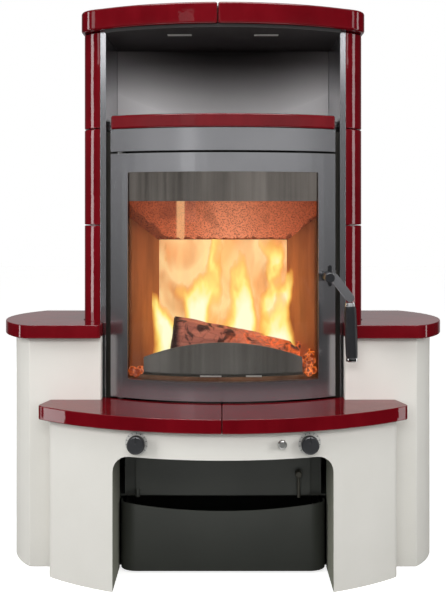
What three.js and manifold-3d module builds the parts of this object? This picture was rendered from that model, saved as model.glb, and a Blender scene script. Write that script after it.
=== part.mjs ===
// A free-standing tiled wood stove: a steel firebox column with a bowed glass door and a warming niche,
// dressed with glazed tiles, between two side benches and behind a front bench on two legs.
// Millimetres, +Z up, front towards -Y. The origin is under the middle of the stove, on the floor.
// Inside this file depths (y) are measured back from the front edge of the bench tile, at the centre line.

import * as THREE from "three";
import { mergeVertices } from "three/addons/utils/BufferGeometryUtils.js";
import Module from "manifold-3d";

const wasm = await Module();
wasm.setup();

// ---------- Fits ----------

const fit = 0.3; // between pieces that rest on or against each other
const runningFit = 0.5; // radial, round a shaft that turns or slides
const tileJoint = 2; // open joint between neighbouring tiles

// ---------- Depths ----------

const columnDepth = 625; // bench tile's front edge to the back of the column
const flueReach = 45; // flue spigot behind the back of the column
const doorFront = 203; // front of the door at the centre line
const capFront = 180; // front of the cap tiles at the centre line
const sideBenchFront = 231; // front edge of the side bench tiles
const shellSetback = 65; // back of the firebox to the back of the column
const nicheBackSetback = 40; // face of the niche's back sheet to the back of the column
const drawerFrontDepth = 208; // face of the wood drawer
const ashBoxFront = 272; // face of the ash box

// ---------- Heights, bottom to top ----------

const benchTop = 426; // seat height of the front bench
const benchTileThickness = 34;
const sideBenchTop = 618;
const doorFootGap = 4; // bench tile to door
const doorHeight = 623;
const doorHeadGap = 5; // door to fascia
const fasciaHeight = 58;
const shelfThickness = 35;
const shelfBack = 420; // where the shelf tile meets the niche's steel floor
const nicheHeight = 211;
const ceilingThickness = 9; // steel plate under the cap, whose edge shows as the rail
const capThickness = 54;
const columnCourses = 3; // tiles above the side bench, one on another

// ---------- Bowed fronts, radii in plan ----------

const columnRadius = 550;
const benchRadius = 690;
const capRadius = 580;
const railSetback = 5; // rail behind the face of the cap

// ---------- Front bench ----------

const benchHalfWidth = 460; // at its front corners
const benchBackHalf = 439; // where it meets the side benches
const bodySetback = 25; // bench bodies behind the edge of their tiles
const archHalf = 263;
const archTop = 326;
const archRadius = 40;
const legWall = 36;
const apronThickness = 40;
const deckThickness = 14;
const benchSeam = -2.5; // joint between the two halves of the bench tile
const capSeam = -13; // joint between the two halves of the cap

// ---------- Side benches ----------

const sideInner = 311; // inner end of the side bench front
const sideCrease = 506; // where the straight front edge meets the bowed end
const sideReach = 582; // furthest point of the bowed end
const sideWall = 35;

// ---------- Column ----------

const panelInner = 302; // inner face of the steel side panels
const panelSheet = 3;
const stripWidth = 16; // grey strip at the front of each side panel
const stripThickness = 8;
const columnHalf = 367; // outer face of the column tiles
const columnTileWall = 27;
const columnTurn = 332; // where the bowed front of the column starts its round corner
const capHalf = 372;
const capTurn = 312; // where the cap's bowed front starts its round corner
const ventX = 112; // warm-air slots in the niche's ceiling
const ventLength = 58;
const ventWidth = 10;
const ventDepth = 298;
const backSheet = 2.7;
const baseThickness = 4;

// ---------- Door ----------

const doorHalf = 289;
const doorStile = 46;
const doorRail = 48;
const doorThickness = 22;
const lipThickness = 9; // edge of the door outside its thick middle
const glassThickness = 4.4;
const glassSetback = 10.3; // glass behind the face of the door
const glassLap = 8; // glass behind the frame, all round
const sealThickness = 7.4;
const rimWall = 6; // wall of the firebox and of its mouth
const pinRadius = 4;
const pinLength = 18;
const hingeBossRadius = 9;
const hingeBossLength = 30;
const hingePlate = 4;

// ---------- Handle and latch ----------

const handleX = 266;
const handleZ = 740;
const handleDepth = 200; // centre of the grip and the lever
const spindleRadius = 5;
const spindleNeck = 7;
const handleBossRadius = 12.5;
const leverReach = 50; // from the spindle to the grip, sideways and down alike
const leverWidth = 22;
const leverLead = 11; // its upper end beside the spindle
const leverThickness = 8;
const collarRadius = 13;
const collarHeight = 10;
const gripRadius = 15;
const gripLength = 128;
const gripTilt = 2; // degrees, foot outwards
const endCapHeight = 11;
const handleRodRadius = 5;

// ---------- Air knobs and grate pull ----------

const knobX = 204;
const knobZ = 359;
const knobRadius = 21;
const knobLength = 22;
const knobStandoff = 1.5; // knob in front of the bowed apron
const scaleRadius = 27.5;
const scaleThickness = 1.2;
const pullX = 138;
const pullZ = 363;
const pullRadius = 10.5;
const pullStroke = 50;
const pullRodRadius = 4;

// ---------- Firebox, ash box and wood drawer ----------

const hearthThickness = 15.4;
const hearthFloorRise = 40; // floor of the firebox above the door's lower edge
const grateHalf = 100;
const grateNear = 340;
const grateFar = 490;
const guardHalf = 204.5;
const guardHeight = 86;
const guardEndHeight = 43;
const guardThickness = 8;
const guardSetback = 45; // log guard behind the face of the door
const liningFrontHalf = 238; // clear half-widths of the linings, front and back
const liningRearHalf = 180;
const liningThickness = 24;
const emberHalf = 200;
const emberRise = 26;
const emberMiddle = 12;
const logLeft = -137; // ends of the log's centre line
const logRight = 206;
const logLead = 42; // its left end in front of the middle of the fire bed
const logSlant = 24; // its right end behind the left one
const logLeftRise = 86; // ends of the centre line above the hearth
const logRightRise = 38;
const logButt = 60; // radii of its ends
const logTip = 36;
const filterLow = 832;
const filterHigh = 932;
const filterFootHalf = 172; // the filter's lower corners are cut off
const filterCornerRise = 58;
const filterNear = 335;
const filterFar = 440;
const baffleThickness = 4;
const baffleLap = 14; // baffle above the top of the window
const flueRadius = 75;
const flueWall = 3;
const flueZ = 1025;
const ashBoxLow = 178;
const ashWall = 4;
const ashOpeningHalf = 205;
const ashOpeningLow = 190;
const ashOpeningHigh = 310;
const ashDoorHalf = 222;
const ashDoorLap = 8; // ash door beyond its opening, above and below
const ashDoorThickness = 10;
const ashLatchX = 192;
const ashLatchZ = 238;
const ashLatchDrop = 58;
const panHalf = 195;
const panTop = 250;
const panWall = 2.5;
const drawerHalf = 258;
const drawerCorner = 40;
const drawerFrontTop = 156; // its top edge at the centre line
const drawerEdgeTop = 174.5; // and at its raised ends
const drawerDipHalf = 229;
const drawerSheet = 4;
const drawerWall = 3;
const drawerSideTop = 150;
const drawerLift = 0.5; // drawer above the base plate it slides on

// ---------- Values worked out from the above ----------

const shellBack = columnDepth - shellSetback;
const nicheBackFront = columnDepth - nicheBackSetback;
const tileBack = sideBenchFront + bodySetback + 2 - fit; // back edge of the bench tile, at the side bench
const columnBow = { radius: columnRadius, centre: doorFront + columnRadius };
const benchBow = { radius: benchRadius, centre: benchRadius };
const capBow = { radius: capRadius, centre: capFront + capRadius };
const panelBack = columnDepth - backSheet - fit;
const sheetHalf = panelInner - fit; // what stands between the side panels
const bodyTop = benchTop - benchTileThickness;
const sideBodyTop = sideBenchTop - benchTileThickness;
const doorLow = benchTop + doorFootGap;
const doorHigh = doorLow + doorHeight;
const fasciaLow = doorHigh + doorHeadGap;
const fasciaHigh = fasciaLow + fasciaHeight;
const shelfHigh = fasciaHigh + shelfThickness;
const ceilingLow = shelfHigh + nicheHeight;
const ceilingHigh = ceilingLow + ceilingThickness;
const windowHalf = doorHalf - doorStile;
const windowLow = doorLow + doorRail;
const windowHigh = doorHigh - doorRail;
const glassHalf = windowHalf + glassLap;
const mouthHalf = glassHalf; // outside of the firebox mouth, behind the edge of the glass
const mouthInner = mouthHalf - rimWall;
const doorThickHalf = glassHalf + 7;
const rimSetback = doorThickness + sealThickness + 2 * fit; // rim of the mouth behind the face of the door
const hingeX = -(mouthHalf + hingeBossRadius + 2);
const hingeY = bowY(columnBow, hingeX, lipThickness) + 5;
const flangeFront = hingeY + doorHalf + hingeX + 10; // clear of the door's edge as it swings behind the hinge
const flangeBack = flangeFront + 4;
const shellLow = benchTop - 6;
const shellHigh = fasciaHigh - 4;
const shellFloor = doorLow + hearthFloorRise;
const hearthTop = shellFloor + fit + hearthThickness;
const liningFace = shellBack - rimWall - fit - liningThickness; // face of the back lining
const bedNear = flangeBack + 10; // the fire bed, between the mouth of the firebox and the back lining
const bedFar = liningFace - 25;
const bedMiddle = (bedNear + bedFar) / 2;

// ---------- Outlines ----------

// Point of an outline.
function at(x, y) {
  return new THREE.Vector2(x, y);
}

// Depth of a bowed front at x, set back by inset from its face.
function bowY(bow, x, inset = 0) {
  return bow.centre - Math.sqrt((bow.radius - inset) ** 2 - x ** 2);
}

// Points along a bowed front from one x to another.
function bowPoints(bow, inset, fromX, toX, steps = 16) {
  const radius = bow.radius - inset;
  const from = Math.asin(fromX / radius);
  const to = Math.asin(toX / radius);
  return Array.from({ length: steps + 1 }, (_, i) => {
    const angle = from + ((to - from) * i) / steps;
    return at(radius * Math.sin(angle), bow.centre - radius * Math.cos(angle));
  });
}

// Points along a circle from one angle to another, in degrees.
function arcPoints(x, y, radius, fromAngle, toAngle, steps) {
  return Array.from({ length: steps + 1 }, (_, i) => {
    const angle = THREE.MathUtils.degToRad(fromAngle + ((toAngle - fromAngle) * i) / steps);
    return at(x + radius * Math.cos(angle), y + radius * Math.sin(angle));
  });
}

// Points along a soft corner.
function bend(from, corner, to, steps = 5) {
  return new THREE.QuadraticBezierCurve(from, corner, to).getPoints(steps);
}

// Point on the way from one point to another, a distance from the first.
function along(from, to, distance) {
  return to.clone().sub(from).setLength(distance).add(from);
}

// A whole outline from its right half, listed from the front round to the back.
function bothSides(half) {
  const left = half.filter((p) => p.x > 0).map((p) => at(-p.x, p.y));
  return [...half, ...left.reverse()];
}

// Rectangle with round corners.
function roundedRect(left, right, low, high, radius, steps = 4) {
  return [
    ...arcPoints(right - radius, high - radius, radius, 0, 90, steps),
    ...arcPoints(left + radius, high - radius, radius, 90, 180, steps),
    ...arcPoints(left + radius, low + radius, radius, 180, 270, steps),
    ...arcPoints(right - radius, low + radius, radius, 270, 360, steps),
  ];
}

// Radius of the arc that spans a half-width with a given rise.
function arcRadius(half, rise) {
  return (half ** 2 + rise ** 2) / (2 * rise);
}

// ---------- Solids ----------

// Closed geometry as a solid that can be joined and cut.
function solidOf(geometry) {
  const bare = new THREE.BufferGeometry();
  const open = geometry.index ? geometry.toNonIndexed() : geometry;
  bare.setAttribute("position", open.getAttribute("position"));
  const merged = mergeVertices(bare, 1e-4);
  return new wasm.Manifold(
    new wasm.Mesh({
      numProp: 3,
      vertProperties: merged.attributes.position.array,
      triVerts: new Uint32Array(merged.index.array),
    }),
  );
}

// Solid back to a geometry for a mesh.
function geometryOf(solid) {
  const mesh = solid.getMesh();
  const geometry = new THREE.BufferGeometry();
  geometry.setAttribute("position", new THREE.BufferAttribute(mesh.vertProperties, 3));
  geometry.setIndex(new THREE.BufferAttribute(mesh.triVerts, 1));
  return geometry;
}

function extruded(outline, depth) {
  return new THREE.ExtrudeGeometry(new THREE.Shape(outline), { depth, bevelEnabled: false });
}

// Plan outline raised from one height to another.
function slab(outline, low, high) {
  return solidOf(extruded(outline, high - low).translate(0, 0, low));
}

// Outline seen from the front, in x and z, carried from one depth back to another.
function prism(outline, near, far) {
  return solidOf(extruded(outline, far - near).rotateX(Math.PI / 2).translate(0, far, 0));
}

function box(left, right, near, far, low, high) {
  const geometry = new THREE.BoxGeometry(right - left, far - near, high - low);
  return solidOf(geometry.translate((left + right) / 2, (near + far) / 2, (low + high) / 2));
}

// Round bar along y.
function rod(x, z, radius, near, far, sides = 20) {
  const geometry = new THREE.CylinderGeometry(radius, radius, far - near, sides);
  return solidOf(geometry.translate(x, (near + far) / 2, z));
}

// Round bar along z.
function post(x, y, radius, low, high, sides = 20) {
  const geometry = new THREE.CylinderGeometry(radius, radius, high - low, sides);
  return solidOf(geometry.rotateX(Math.PI / 2).translate(x, y, (low + high) / 2));
}

// Turned piece along y, from [radius, depth] pairs listed front to back.
function turned(x, z, profile, sides = 28) {
  const points = profile.map(([radius, depth]) => at(radius, depth));
  return solidOf(new THREE.LatheGeometry(points, sides).translate(x, 0, z));
}

// Bowed plate between two setbacks from a bowed front.
function band(bow, front, back, half, low, high) {
  const face = bowPoints(bow, front, -half, half);
  return slab([...face, ...bowPoints(bow, back, half, -half)], low, high);
}

// Space between x limits, at every depth and height.
function between(left, right) {
  return box(left, right, -columnDepth, 2 * columnDepth, -1, 2 * ceilingHigh);
}

// ---------- Front bench ----------

// Plan of the front bench, set in from the edge of its tile.
function benchPlan(inset) {
  const wide = benchHalfWidth - inset;
  const corner = at(wide, bowY(benchBow, wide, inset));
  const back = at(benchBackHalf - inset, tileBack);
  const front = bowPoints(benchBow, inset, 0, wide - 14, 14);
  const soft = bend(front.pop(), corner, along(corner, back, 18));
  return [...front, ...soft, back];
}

// Everything behind the bow that the column's front needs.
function columnRoom(inset, half) {
  const plan = [...bowPoints(columnBow, inset, -half, half), at(half, columnDepth), at(-half, columnDepth)];
  return slab(plan, -1, benchTop + 1);
}

function benchTiles() {
  const inner = sideInner - fit;
  const plan = bothSides([
    ...benchPlan(0),
    at(inner, tileBack),
    at(inner, bowY(columnBow, panelInner) - fit),
  ]);
  const whole = slab(plan, bodyTop + fit, benchTop).subtract(columnRoom(-3, sideInner));
  const half = tileJoint / 2;
  return {
    front_bench_tile_left: whole.intersect(between(-sideReach, benchSeam - half)),
    front_bench_tile_right: whole.intersect(between(benchSeam + half, sideReach)),
  };
}

function benchBody() {
  const back = sideBenchFront + bodySetback + 2;
  const arch = roundedRect(-archHalf, archHalf, -archRadius, archTop, archRadius, 6);
  const apronBack = bowY(benchBow, archHalf, bodySetback) + apronThickness;
  let body = slab(bothSides(benchPlan(bodySetback)), 0, bodyTop)
    .subtract(prism(arch, -1, columnDepth))
    .subtract(columnRoom(-3, archHalf + legWall));
  const deckRoom = bothSides([
    ...bowPoints(benchBow, bodySetback + apronThickness, 0, archHalf - legWall, 10),
    at(archHalf - legWall, back + 1),
  ]);
  body = body.subtract(slab(deckRoom, archTop - archRadius, bodyTop - deckThickness));
  for (const side of [-1, 1]) {
    const inner = archHalf + legWall;
    const outer = benchBackHalf - bodySetback - legWall;
    const pocket = [
      at(side * inner, back + 1),
      at(side * inner, apronBack),
      at(side * outer, bowY(benchBow, outer, bodySetback) + apronThickness),
      at(side * outer, back + 1),
    ];
    body = body.subtract(slab(pocket, -1, archTop));
    const face = bowY(benchBow, knobX, bodySetback);
    body = body.subtract(rod(side * knobX, knobZ, spindleRadius + runningFit, face - 20, face + 90));
  }
  return body.subtract(rod(pullX, pullZ, pullRodRadius + runningFit, 0, back));
}

// ---------- Side benches ----------

// The bowed end of a side bench is an arc through its front crease, its furthest point and its back.
const sideHalfDepth = (columnDepth - sideBenchFront) / 2;
const sideRadius = arcRadius(sideHalfDepth, sideReach - sideCrease);
const sideCentre = at(sideReach - sideRadius, sideBenchFront + sideHalfDepth);

// Points of the bowed end between two depths. An inset arc ends where it has turned straight back.
function sideEnd(inset, near, far, steps = 14) {
  const radius = sideRadius - inset;
  const angle = (y) => {
    const sine = THREE.MathUtils.clamp((y - sideCentre.y) / radius, -1, 1);
    return THREE.MathUtils.radToDeg(Math.asin(sine));
  };
  return arcPoints(sideCentre.x, sideCentre.y, radius, angle(near), angle(far), steps);
}

// Outline of the column with its tiles, from the strip round to the side, grown by a clearance.
function columnCorner(clearance, fromX) {
  const outer = columnHalf + clearance;
  const start = bowPoints(columnBow, -clearance, fromX, columnTurn, 2);
  const turn = at(outer, bowY(columnBow, outer, -clearance));
  return [...start.slice(0, -1), ...bend(start.at(-1), turn, at(outer, turn.y + 30), 6)];
}

function sideBench(side) {
  const flip = (points) => points.map((p) => at(side * p.x, p.y));
  const bodyFront = sideBenchFront + bodySetback + 2;
  const bodyInset = bodySetback + 2;
  const end = sideEnd(0, sideBenchFront, panelBack);
  const crease = bend(at(sideCrease - 16, sideBenchFront), end[0], end[1], 4);
  const corner = at(sideInner, sideBenchFront);
  const lead = bend(at(sideInner, sideBenchFront + 9), corner, at(sideInner + 9, sideBenchFront), 3);
  const inner = [...columnCorner(tileJoint, sideInner), at(columnHalf + tileJoint, panelBack)];
  const tile = [...lead, ...crease, ...end.slice(2), ...inner.reverse()];
  const shell = [
    at(sideInner, bodyFront),
    ...sideEnd(bodyInset, bodyFront, panelBack),
    at(panelInner + panelSheet + fit, panelBack),
    at(panelInner + panelSheet + fit, panelBack - sideWall),
    ...sideEnd(bodyInset + sideWall, bodyFront + sideWall, panelBack - sideWall).reverse(),
    at(sideInner, bodyFront + sideWall),
  ];
  return {
    tile: slab(flip(tile), sideBodyTop + fit, sideBenchTop),
    body: slab(flip(shell), 0, sideBodyTop),
  };
}

// ---------- Column ----------

function sidePanel(side) {
  const stripEnd = panelInner + stripWidth;
  const stripBack = bowY(columnBow, stripEnd) + stripThickness;
  const plan = [
    at(panelInner, bowY(columnBow, panelInner)),
    at(stripEnd, bowY(columnBow, stripEnd)),
    at(stripEnd, stripBack),
    at(panelInner + panelSheet, stripBack),
    at(panelInner + panelSheet, panelBack),
    at(panelInner, panelBack),
  ];
  return slab(plan.map((p) => at(side * p.x, p.y)), 0, ceilingHigh);
}

// One tile of the column's corner, open towards the side panel, whose ribs it bears on.
function columnTile(side, low, high) {
  const inner = panelInner + panelSheet + fit;
  const front = panelInner + stripWidth + fit;
  const stripBack = bowY(columnBow, panelInner + stripWidth) + stripThickness + fit;
  const corner = columnCorner(0, front);
  const wallX = columnHalf - columnTileWall;
  const plan = [
    ...corner,
    at(columnHalf, panelBack),
    at(inner, panelBack),
    at(inner, panelBack - columnTileWall),
    at(wallX, panelBack - columnTileWall),
    at(wallX, corner.at(-1).y),
    at(front + 6, stripBack + columnTileWall),
    at(inner, stripBack + columnTileWall),
    at(inner, stripBack),
    at(front, stripBack),
  ];
  return slab(plan.map((p) => at(side * p.x, p.y)), low, high);
}

function columnTiles() {
  const tiles = {};
  const course = (ceilingHigh - sideBenchTop) / columnCourses;
  for (const [word, side] of [["left", -1], ["right", 1]]) {
    for (let i = 0; i < columnCourses; i += 1) {
      const low = i === 0 ? sideBodyTop + fit : sideBenchTop + i * course + tileJoint / 2;
      const high = sideBenchTop + (i + 1) * course - tileJoint / 2;
      tiles[`column_tile_${word}_${i + 1}`] = columnTile(side, low, high);
    }
  }
  return tiles;
}

function capTiles() {
  const front = bowPoints(capBow, 0, 0, capTurn, 14);
  const turn = at(capHalf, bowY(capBow, capHalf) - 18);
  const soft = bend(front.pop(), turn, at(capHalf, turn.y + 56), 7);
  const plan = bothSides([...front, ...soft, at(capHalf, columnDepth)]);
  const whole = slab(plan, ceilingHigh + fit, ceilingHigh + capThickness);
  const half = tileJoint / 2;
  return {
    cap_tile_left: whole.intersect(between(-capHalf - 1, capSeam - half)),
    cap_tile_right: whole.intersect(between(capSeam + half, capHalf + 1)),
  };
}

// Steel top: ceiling of the niche with two vent slots, whose front edge is the rail under the cap.
function topPlate() {
  const plan = bothSides([...bowPoints(capBow, railSetback, 0, sheetHalf, 12), at(sheetHalf, panelBack)]);
  let plate = slab(plan, ceilingLow, ceilingHigh);
  const half = ventLength / 2;
  const end = ventWidth / 2;
  for (const x of [-ventX, ventX]) {
    const slot = roundedRect(x - half, x + half, ventDepth - end, ventDepth + end, end);
    plate = plate.subtract(slab(slot, ceilingLow - 1, ceilingHigh + 1));
  }
  return plate;
}

function nicheFloor() {
  const inner = sheetHalf - 4;
  const floor = box(-sheetHalf, sheetHalf, shelfBack + fit, nicheBackFront - fit, shellHigh + fit, shelfHigh);
  return floor.subtract(box(-inner, inner, shelfBack, nicheBackFront, shellHigh - 1, shelfHigh - 4));
}

function nicheBack() {
  const front = nicheBackFront;
  return box(-sheetHalf, sheetHalf, front, front + 4, shellHigh + fit, ceilingLow - fit);
}

function shelfTile() {
  const plan = bothSides([...bowPoints(columnBow, -3, 0, doorHalf - 1, 10), at(doorHalf - 1, shelfBack)]);
  return slab(plan, fasciaHigh + fit, shelfHigh);
}

function fascia() {
  let sheet = band(columnBow, 0, 4, doorHalf, fasciaLow, fasciaHigh);
  const edge = bowY(columnBow, doorHalf);
  for (const side of [-1, 1]) {
    const x = side * (doorHalf - 2);
    sheet = sheet.add(box(x - 2, x + 2, edge + 2, flangeFront - fit, fasciaLow, fasciaHigh));
  }
  return sheet;
}

function backPanel() {
  const half = panelInner + panelSheet;
  const sheet = box(-half, half, panelBack + fit, columnDepth, 0, ceilingHigh);
  return sheet.subtract(rod(0, flueZ, flueRadius + 1, shellBack, columnDepth + 1, 40));
}

// ---------- Firebox ----------

function fireboxShell() {
  const top = windowHigh + glassLap + rimWall;
  const floorLow = shellFloor - rimWall;
  const backInner = shellBack - rimWall;
  const ash = { left: 15 - grateHalf, right: grateHalf - 15, near: grateNear + 15, far: grateFar - 15 };
  const rim = bowPoints(columnBow, rimSetback, -mouthHalf, mouthHalf);
  const mouth = slab([...rim, at(mouthHalf, flangeBack), at(-mouthHalf, flangeBack)], floorLow, top);
  let shell = box(-sheetHalf, sheetHalf, flangeFront, flangeBack, shellLow, shellHigh)
    .add(box(-mouthHalf, mouthHalf, flangeFront, shellBack, shellLow, shellHigh))
    .add(mouth);
  shell = shell
    .subtract(box(-mouthInner, mouthInner, 0, flangeBack + 1, shellFloor, top - rimWall))
    .subtract(box(-mouthInner, mouthInner, flangeBack, backInner, shellFloor, shellHigh - rimWall))
    .subtract(box(-mouthInner, mouthInner, flangeBack + rimWall, backInner, shellLow - 1, floorLow))
    .subtract(box(ash.left, ash.right, ash.near, ash.far, floorLow - 1, shellFloor + 1))
    .subtract(rod(0, flueZ, flueRadius - flueWall, backInner - 1, shellBack + 1, 40));
  return shell;
}

function hearthSlab() {
  const half = mouthInner - fit;
  const front = bowPoints(columnBow, rimSetback + 6, 0, half, 10);
  const plan = bothSides([...front, at(half, shellBack - rimWall - fit)]);
  const hole = box(-grateHalf - fit, grateHalf + fit, grateNear - fit, grateFar + fit, 0, ceilingLow);
  return slab(plan, shellFloor + fit, hearthTop).subtract(hole);
}

function fireGrate() {
  let grate = box(-grateHalf, grateHalf, grateNear, grateFar, shellFloor + fit, hearthTop - 1.7);
  const slots = 7;
  const pitch = (2 * grateHalf) / (slots + 1);
  for (let i = 1; i <= slots; i += 1) {
    const x = -grateHalf + i * pitch;
    grate = grate.subtract(box(x - 6, x + 6, grateNear + 22, grateFar - 22, shellFloor - 1, hearthTop));
  }
  return grate;
}

function logGuard() {
  const foot = hearthTop + fit;
  const rise = guardHeight - guardEndHeight;
  const radius = arcRadius(guardHalf, rise);
  const reach = THREE.MathUtils.radToDeg(Math.asin(guardHalf / radius));
  const outline = [
    at(-guardHalf, foot),
    at(guardHalf, foot),
    ...arcPoints(0, foot + guardHeight - radius, radius, 90 - reach, 90 + reach, 14),
  ];
  const guardBack = guardSetback + guardThickness;
  const curved = band(columnBow, guardSetback, guardBack, guardHalf, foot, foot + guardHeight);
  return curved.intersect(prism(outline, 0, columnDepth));
}

// The slanted foot of the filter and the tops of the side linings share one line, seen from the front.
function filterOutline(drop) {
  const half = mouthInner - fit;
  return [
    at(-half, filterHigh),
    at(-half, filterLow + filterCornerRise - drop),
    at(-filterFootHalf, filterLow - drop),
    at(filterFootHalf, filterLow - drop),
    at(half, filterLow + filterCornerRise - drop),
    at(half, filterHigh),
  ];
}

function linings() {
  const back = shellBack - rimWall - fit;
  const near = flangeBack + 4;
  const outer = mouthInner - fit;
  const made = {};
  for (const [word, side] of [["left", -1], ["right", 1]]) {
    const wedge = [
      at(side * outer, near),
      at(side * liningFrontHalf, near),
      at(side * liningRearHalf, back),
      at(side * outer, back),
    ];
    const tall = slab(wedge, hearthTop + fit, filterHigh - 1);
    made[`lining_${word}`] = tall.subtract(prism(filterOutline(fit), near - 1, back + 1));
  }
  const half = liningRearHalf - 1;
  made.lining_back = box(-half, half, liningFace, back, hearthTop + fit, filterLow - 7);
  return made;
}

function smokeBaffle() {
  const half = mouthInner - fit;
  const low = filterHigh + fit;
  const high = windowHigh + baffleLap;
  const upright = box(-half, half, filterNear, filterNear + baffleThickness, low, high);
  return upright.add(box(-half, half, filterNear, filterFar, low, low + baffleThickness));
}

// Split log: a tapering bar of uneven section, left end raised.
function log(grown) {
  const left = new THREE.Vector3(logLeft, bedMiddle - logLead, hearthTop + logLeftRise);
  const right = new THREE.Vector3(logRight, bedMiddle - logLead + logSlant, hearthTop + logRightRise);
  const length = left.distanceTo(right);
  const geometry = new THREE.CylinderGeometry(logTip + grown, logButt + grown, length + 2 * grown, 9);
  const turn = new THREE.Quaternion().setFromUnitVectors(
    new THREE.Vector3(0, 1, 0),
    right.clone().sub(left).normalize(),
  );
  const middle = left.clone().lerp(right, 0.5);
  return solidOf(geometry.applyQuaternion(turn).translate(middle.x, middle.y, middle.z));
}

function emberBed() {
  const profile = [[0, 0], [1, 0], [0.93, 0.35], [0.75, 0.65], [0.45, 0.88], [0, 1]];
  const points = profile.map(([radius, height]) => at(radius * emberHalf, height * emberRise));
  const halfDepth = (bedFar - bedNear) / 2;
  const mound = new THREE.LatheGeometry(points, 24).rotateX(Math.PI / 2).scale(1, halfDepth / emberHalf, 1);
  return solidOf(mound.translate(emberMiddle, bedMiddle, hearthTop + fit)).subtract(log(fit));
}

function flueSpigot() {
  const near = shellBack + fit;
  const far = columnDepth + flueReach;
  return rod(0, flueZ, flueRadius, near, far, 40)
    .add(rod(0, flueZ, flueRadius + 12, near, near + 3, 40))
    .subtract(rod(0, flueZ, flueRadius - flueWall, near - 1, far + 1, 40));
}

// ---------- Door ----------

function windowOpening(grow, radius) {
  const half = windowHalf + grow;
  const outline = roundedRect(-half, half, windowLow - grow, windowHigh + grow, radius);
  return prism(outline, 0, columnDepth);
}

function doorFrame() {
  let frame = band(columnBow, 0, lipThickness, doorHalf, doorLow, doorHigh).add(
    band(columnBow, 0, doorThickness, doorThickHalf, doorLow, doorHigh),
  );
  const glassLow = windowLow - glassLap;
  const glassHigh = windowHigh + glassLap;
  const pin = pinRadius + runningFit;
  frame = frame
    .add(post(hingeX, hingeY, hingeBossRadius, doorLow, doorLow + hingeBossLength))
    .add(post(hingeX, hingeY, hingeBossRadius, doorHigh - hingeBossLength, doorHigh))
    .subtract(post(hingeX, hingeY, pin, doorLow - 1, doorLow + pinLength + 2))
    .subtract(post(hingeX, hingeY, pin, doorHigh - pinLength - 2, doorHigh + 1))
    .subtract(windowOpening(0, 4))
    .subtract(band(columnBow, glassSetback - fit, rimSetback, glassHalf, glassLow, glassHigh))
    .subtract(rod(handleX, handleZ, spindleRadius + runningFit, doorFront, flangeFront));
  return frame;
}

function doorFittings() {
  const half = glassHalf - fit;
  const low = windowLow - glassLap + fit;
  const high = windowHigh + glassLap - fit;
  const glassBack = glassSetback + glassThickness;
  const retainer = band(columnBow, glassBack + fit, doorThickness - fit, half, low, high);
  const seal = band(columnBow, doorThickness + fit, rimSetback - fit, half, low - rimWall, high + rimWall);
  const sealHole = roundedRect(-mouthInner - fit, mouthInner + fit, low - fit, high + fit, 2, 2);
  return {
    door_glass: band(columnBow, glassSetback, glassBack, half, low, high),
    glass_retainer: retainer.subtract(windowOpening(1, 3)),
    door_seal: seal.subtract(prism(sealHole, 0, columnDepth)),
  };
}

// Hinge bracket: a plate on the firebox flange with a round nose and a pin into the door.
function hingeBracket(low, pinLow, pinHigh) {
  const high = low + hingePlate;
  return box(hingeX - hingeBossRadius, hingeX + hingeBossRadius, hingeY, flangeFront - fit, low, high)
    .add(post(hingeX, hingeY, hingeBossRadius, low, high))
    .add(post(hingeX, hingeY, pinRadius, pinLow, pinHigh));
}

function latchSpindle() {
  const front = handleDepth - leverThickness / 2 - fit;
  const behind = handleDepth + leverThickness / 2 + fit;
  const shoulder = bowY(columnBow, handleX - handleBossRadius) - 3;
  const tongueNear = flangeFront - 25;
  const tongueFar = flangeFront - 19;
  const spindle = turned(handleX, handleZ, [
    [0, front - 5],
    [handleBossRadius - 2, front - 5],
    [handleBossRadius, front - 3],
    [handleBossRadius, front],
    [spindleNeck, front],
    [spindleNeck, behind],
    [handleBossRadius, behind],
    [handleBossRadius, shoulder],
    [spindleRadius, shoulder],
    [spindleRadius, tongueFar + 1],
    [0, tongueFar + 1],
  ]);
  return spindle.add(box(handleX - 4, handleX + 19, tongueNear, tongueFar, handleZ - 6, handleZ + 6));
}

function latchKeeper() {
  const left = handleX + 20.5;
  return box(left, left + 6, flangeFront - 24, flangeFront - fit, handleZ - 12, handleZ + 12);
}

// Escutcheon that follows the bow of the door: a round plate with the spindle's hole and a narrow upright
// bar beside it.
function handleEscutcheon() {
  const bar = roundedRect(handleX + 4, handleX + 13, handleZ - 27, handleZ + 27, 4);
  const plate = band(columnBow, -1.8, -fit, doorHalf, handleZ - 30, handleZ + 30);
  return plate
    .intersect(
      prism(bar, doorFront, flangeFront).add(rod(handleX, handleZ, handleBossRadius, doorFront, flangeFront)),
    )
    .subtract(rod(handleX, handleZ, spindleRadius + 1, doorFront, flangeFront));
}

function handleLever() {
  const half = leverWidth / 2;
  const foot = at(handleX + leverReach, handleZ - leverReach);
  const outline = [
    ...arcPoints(handleX + leverLead, handleZ, half, 45, 225, 10),
    ...arcPoints(foot.x, foot.y, half, 225, 405, 10),
  ];
  const near = handleDepth - leverThickness / 2;
  return prism(outline, near, near + leverThickness)
    .add(rod(handleX, handleZ, handleBossRadius, near, near + leverThickness))
    .subtract(rod(handleX, handleZ, spindleNeck + fit, near - 1, near + leverThickness + 1));
}

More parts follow.
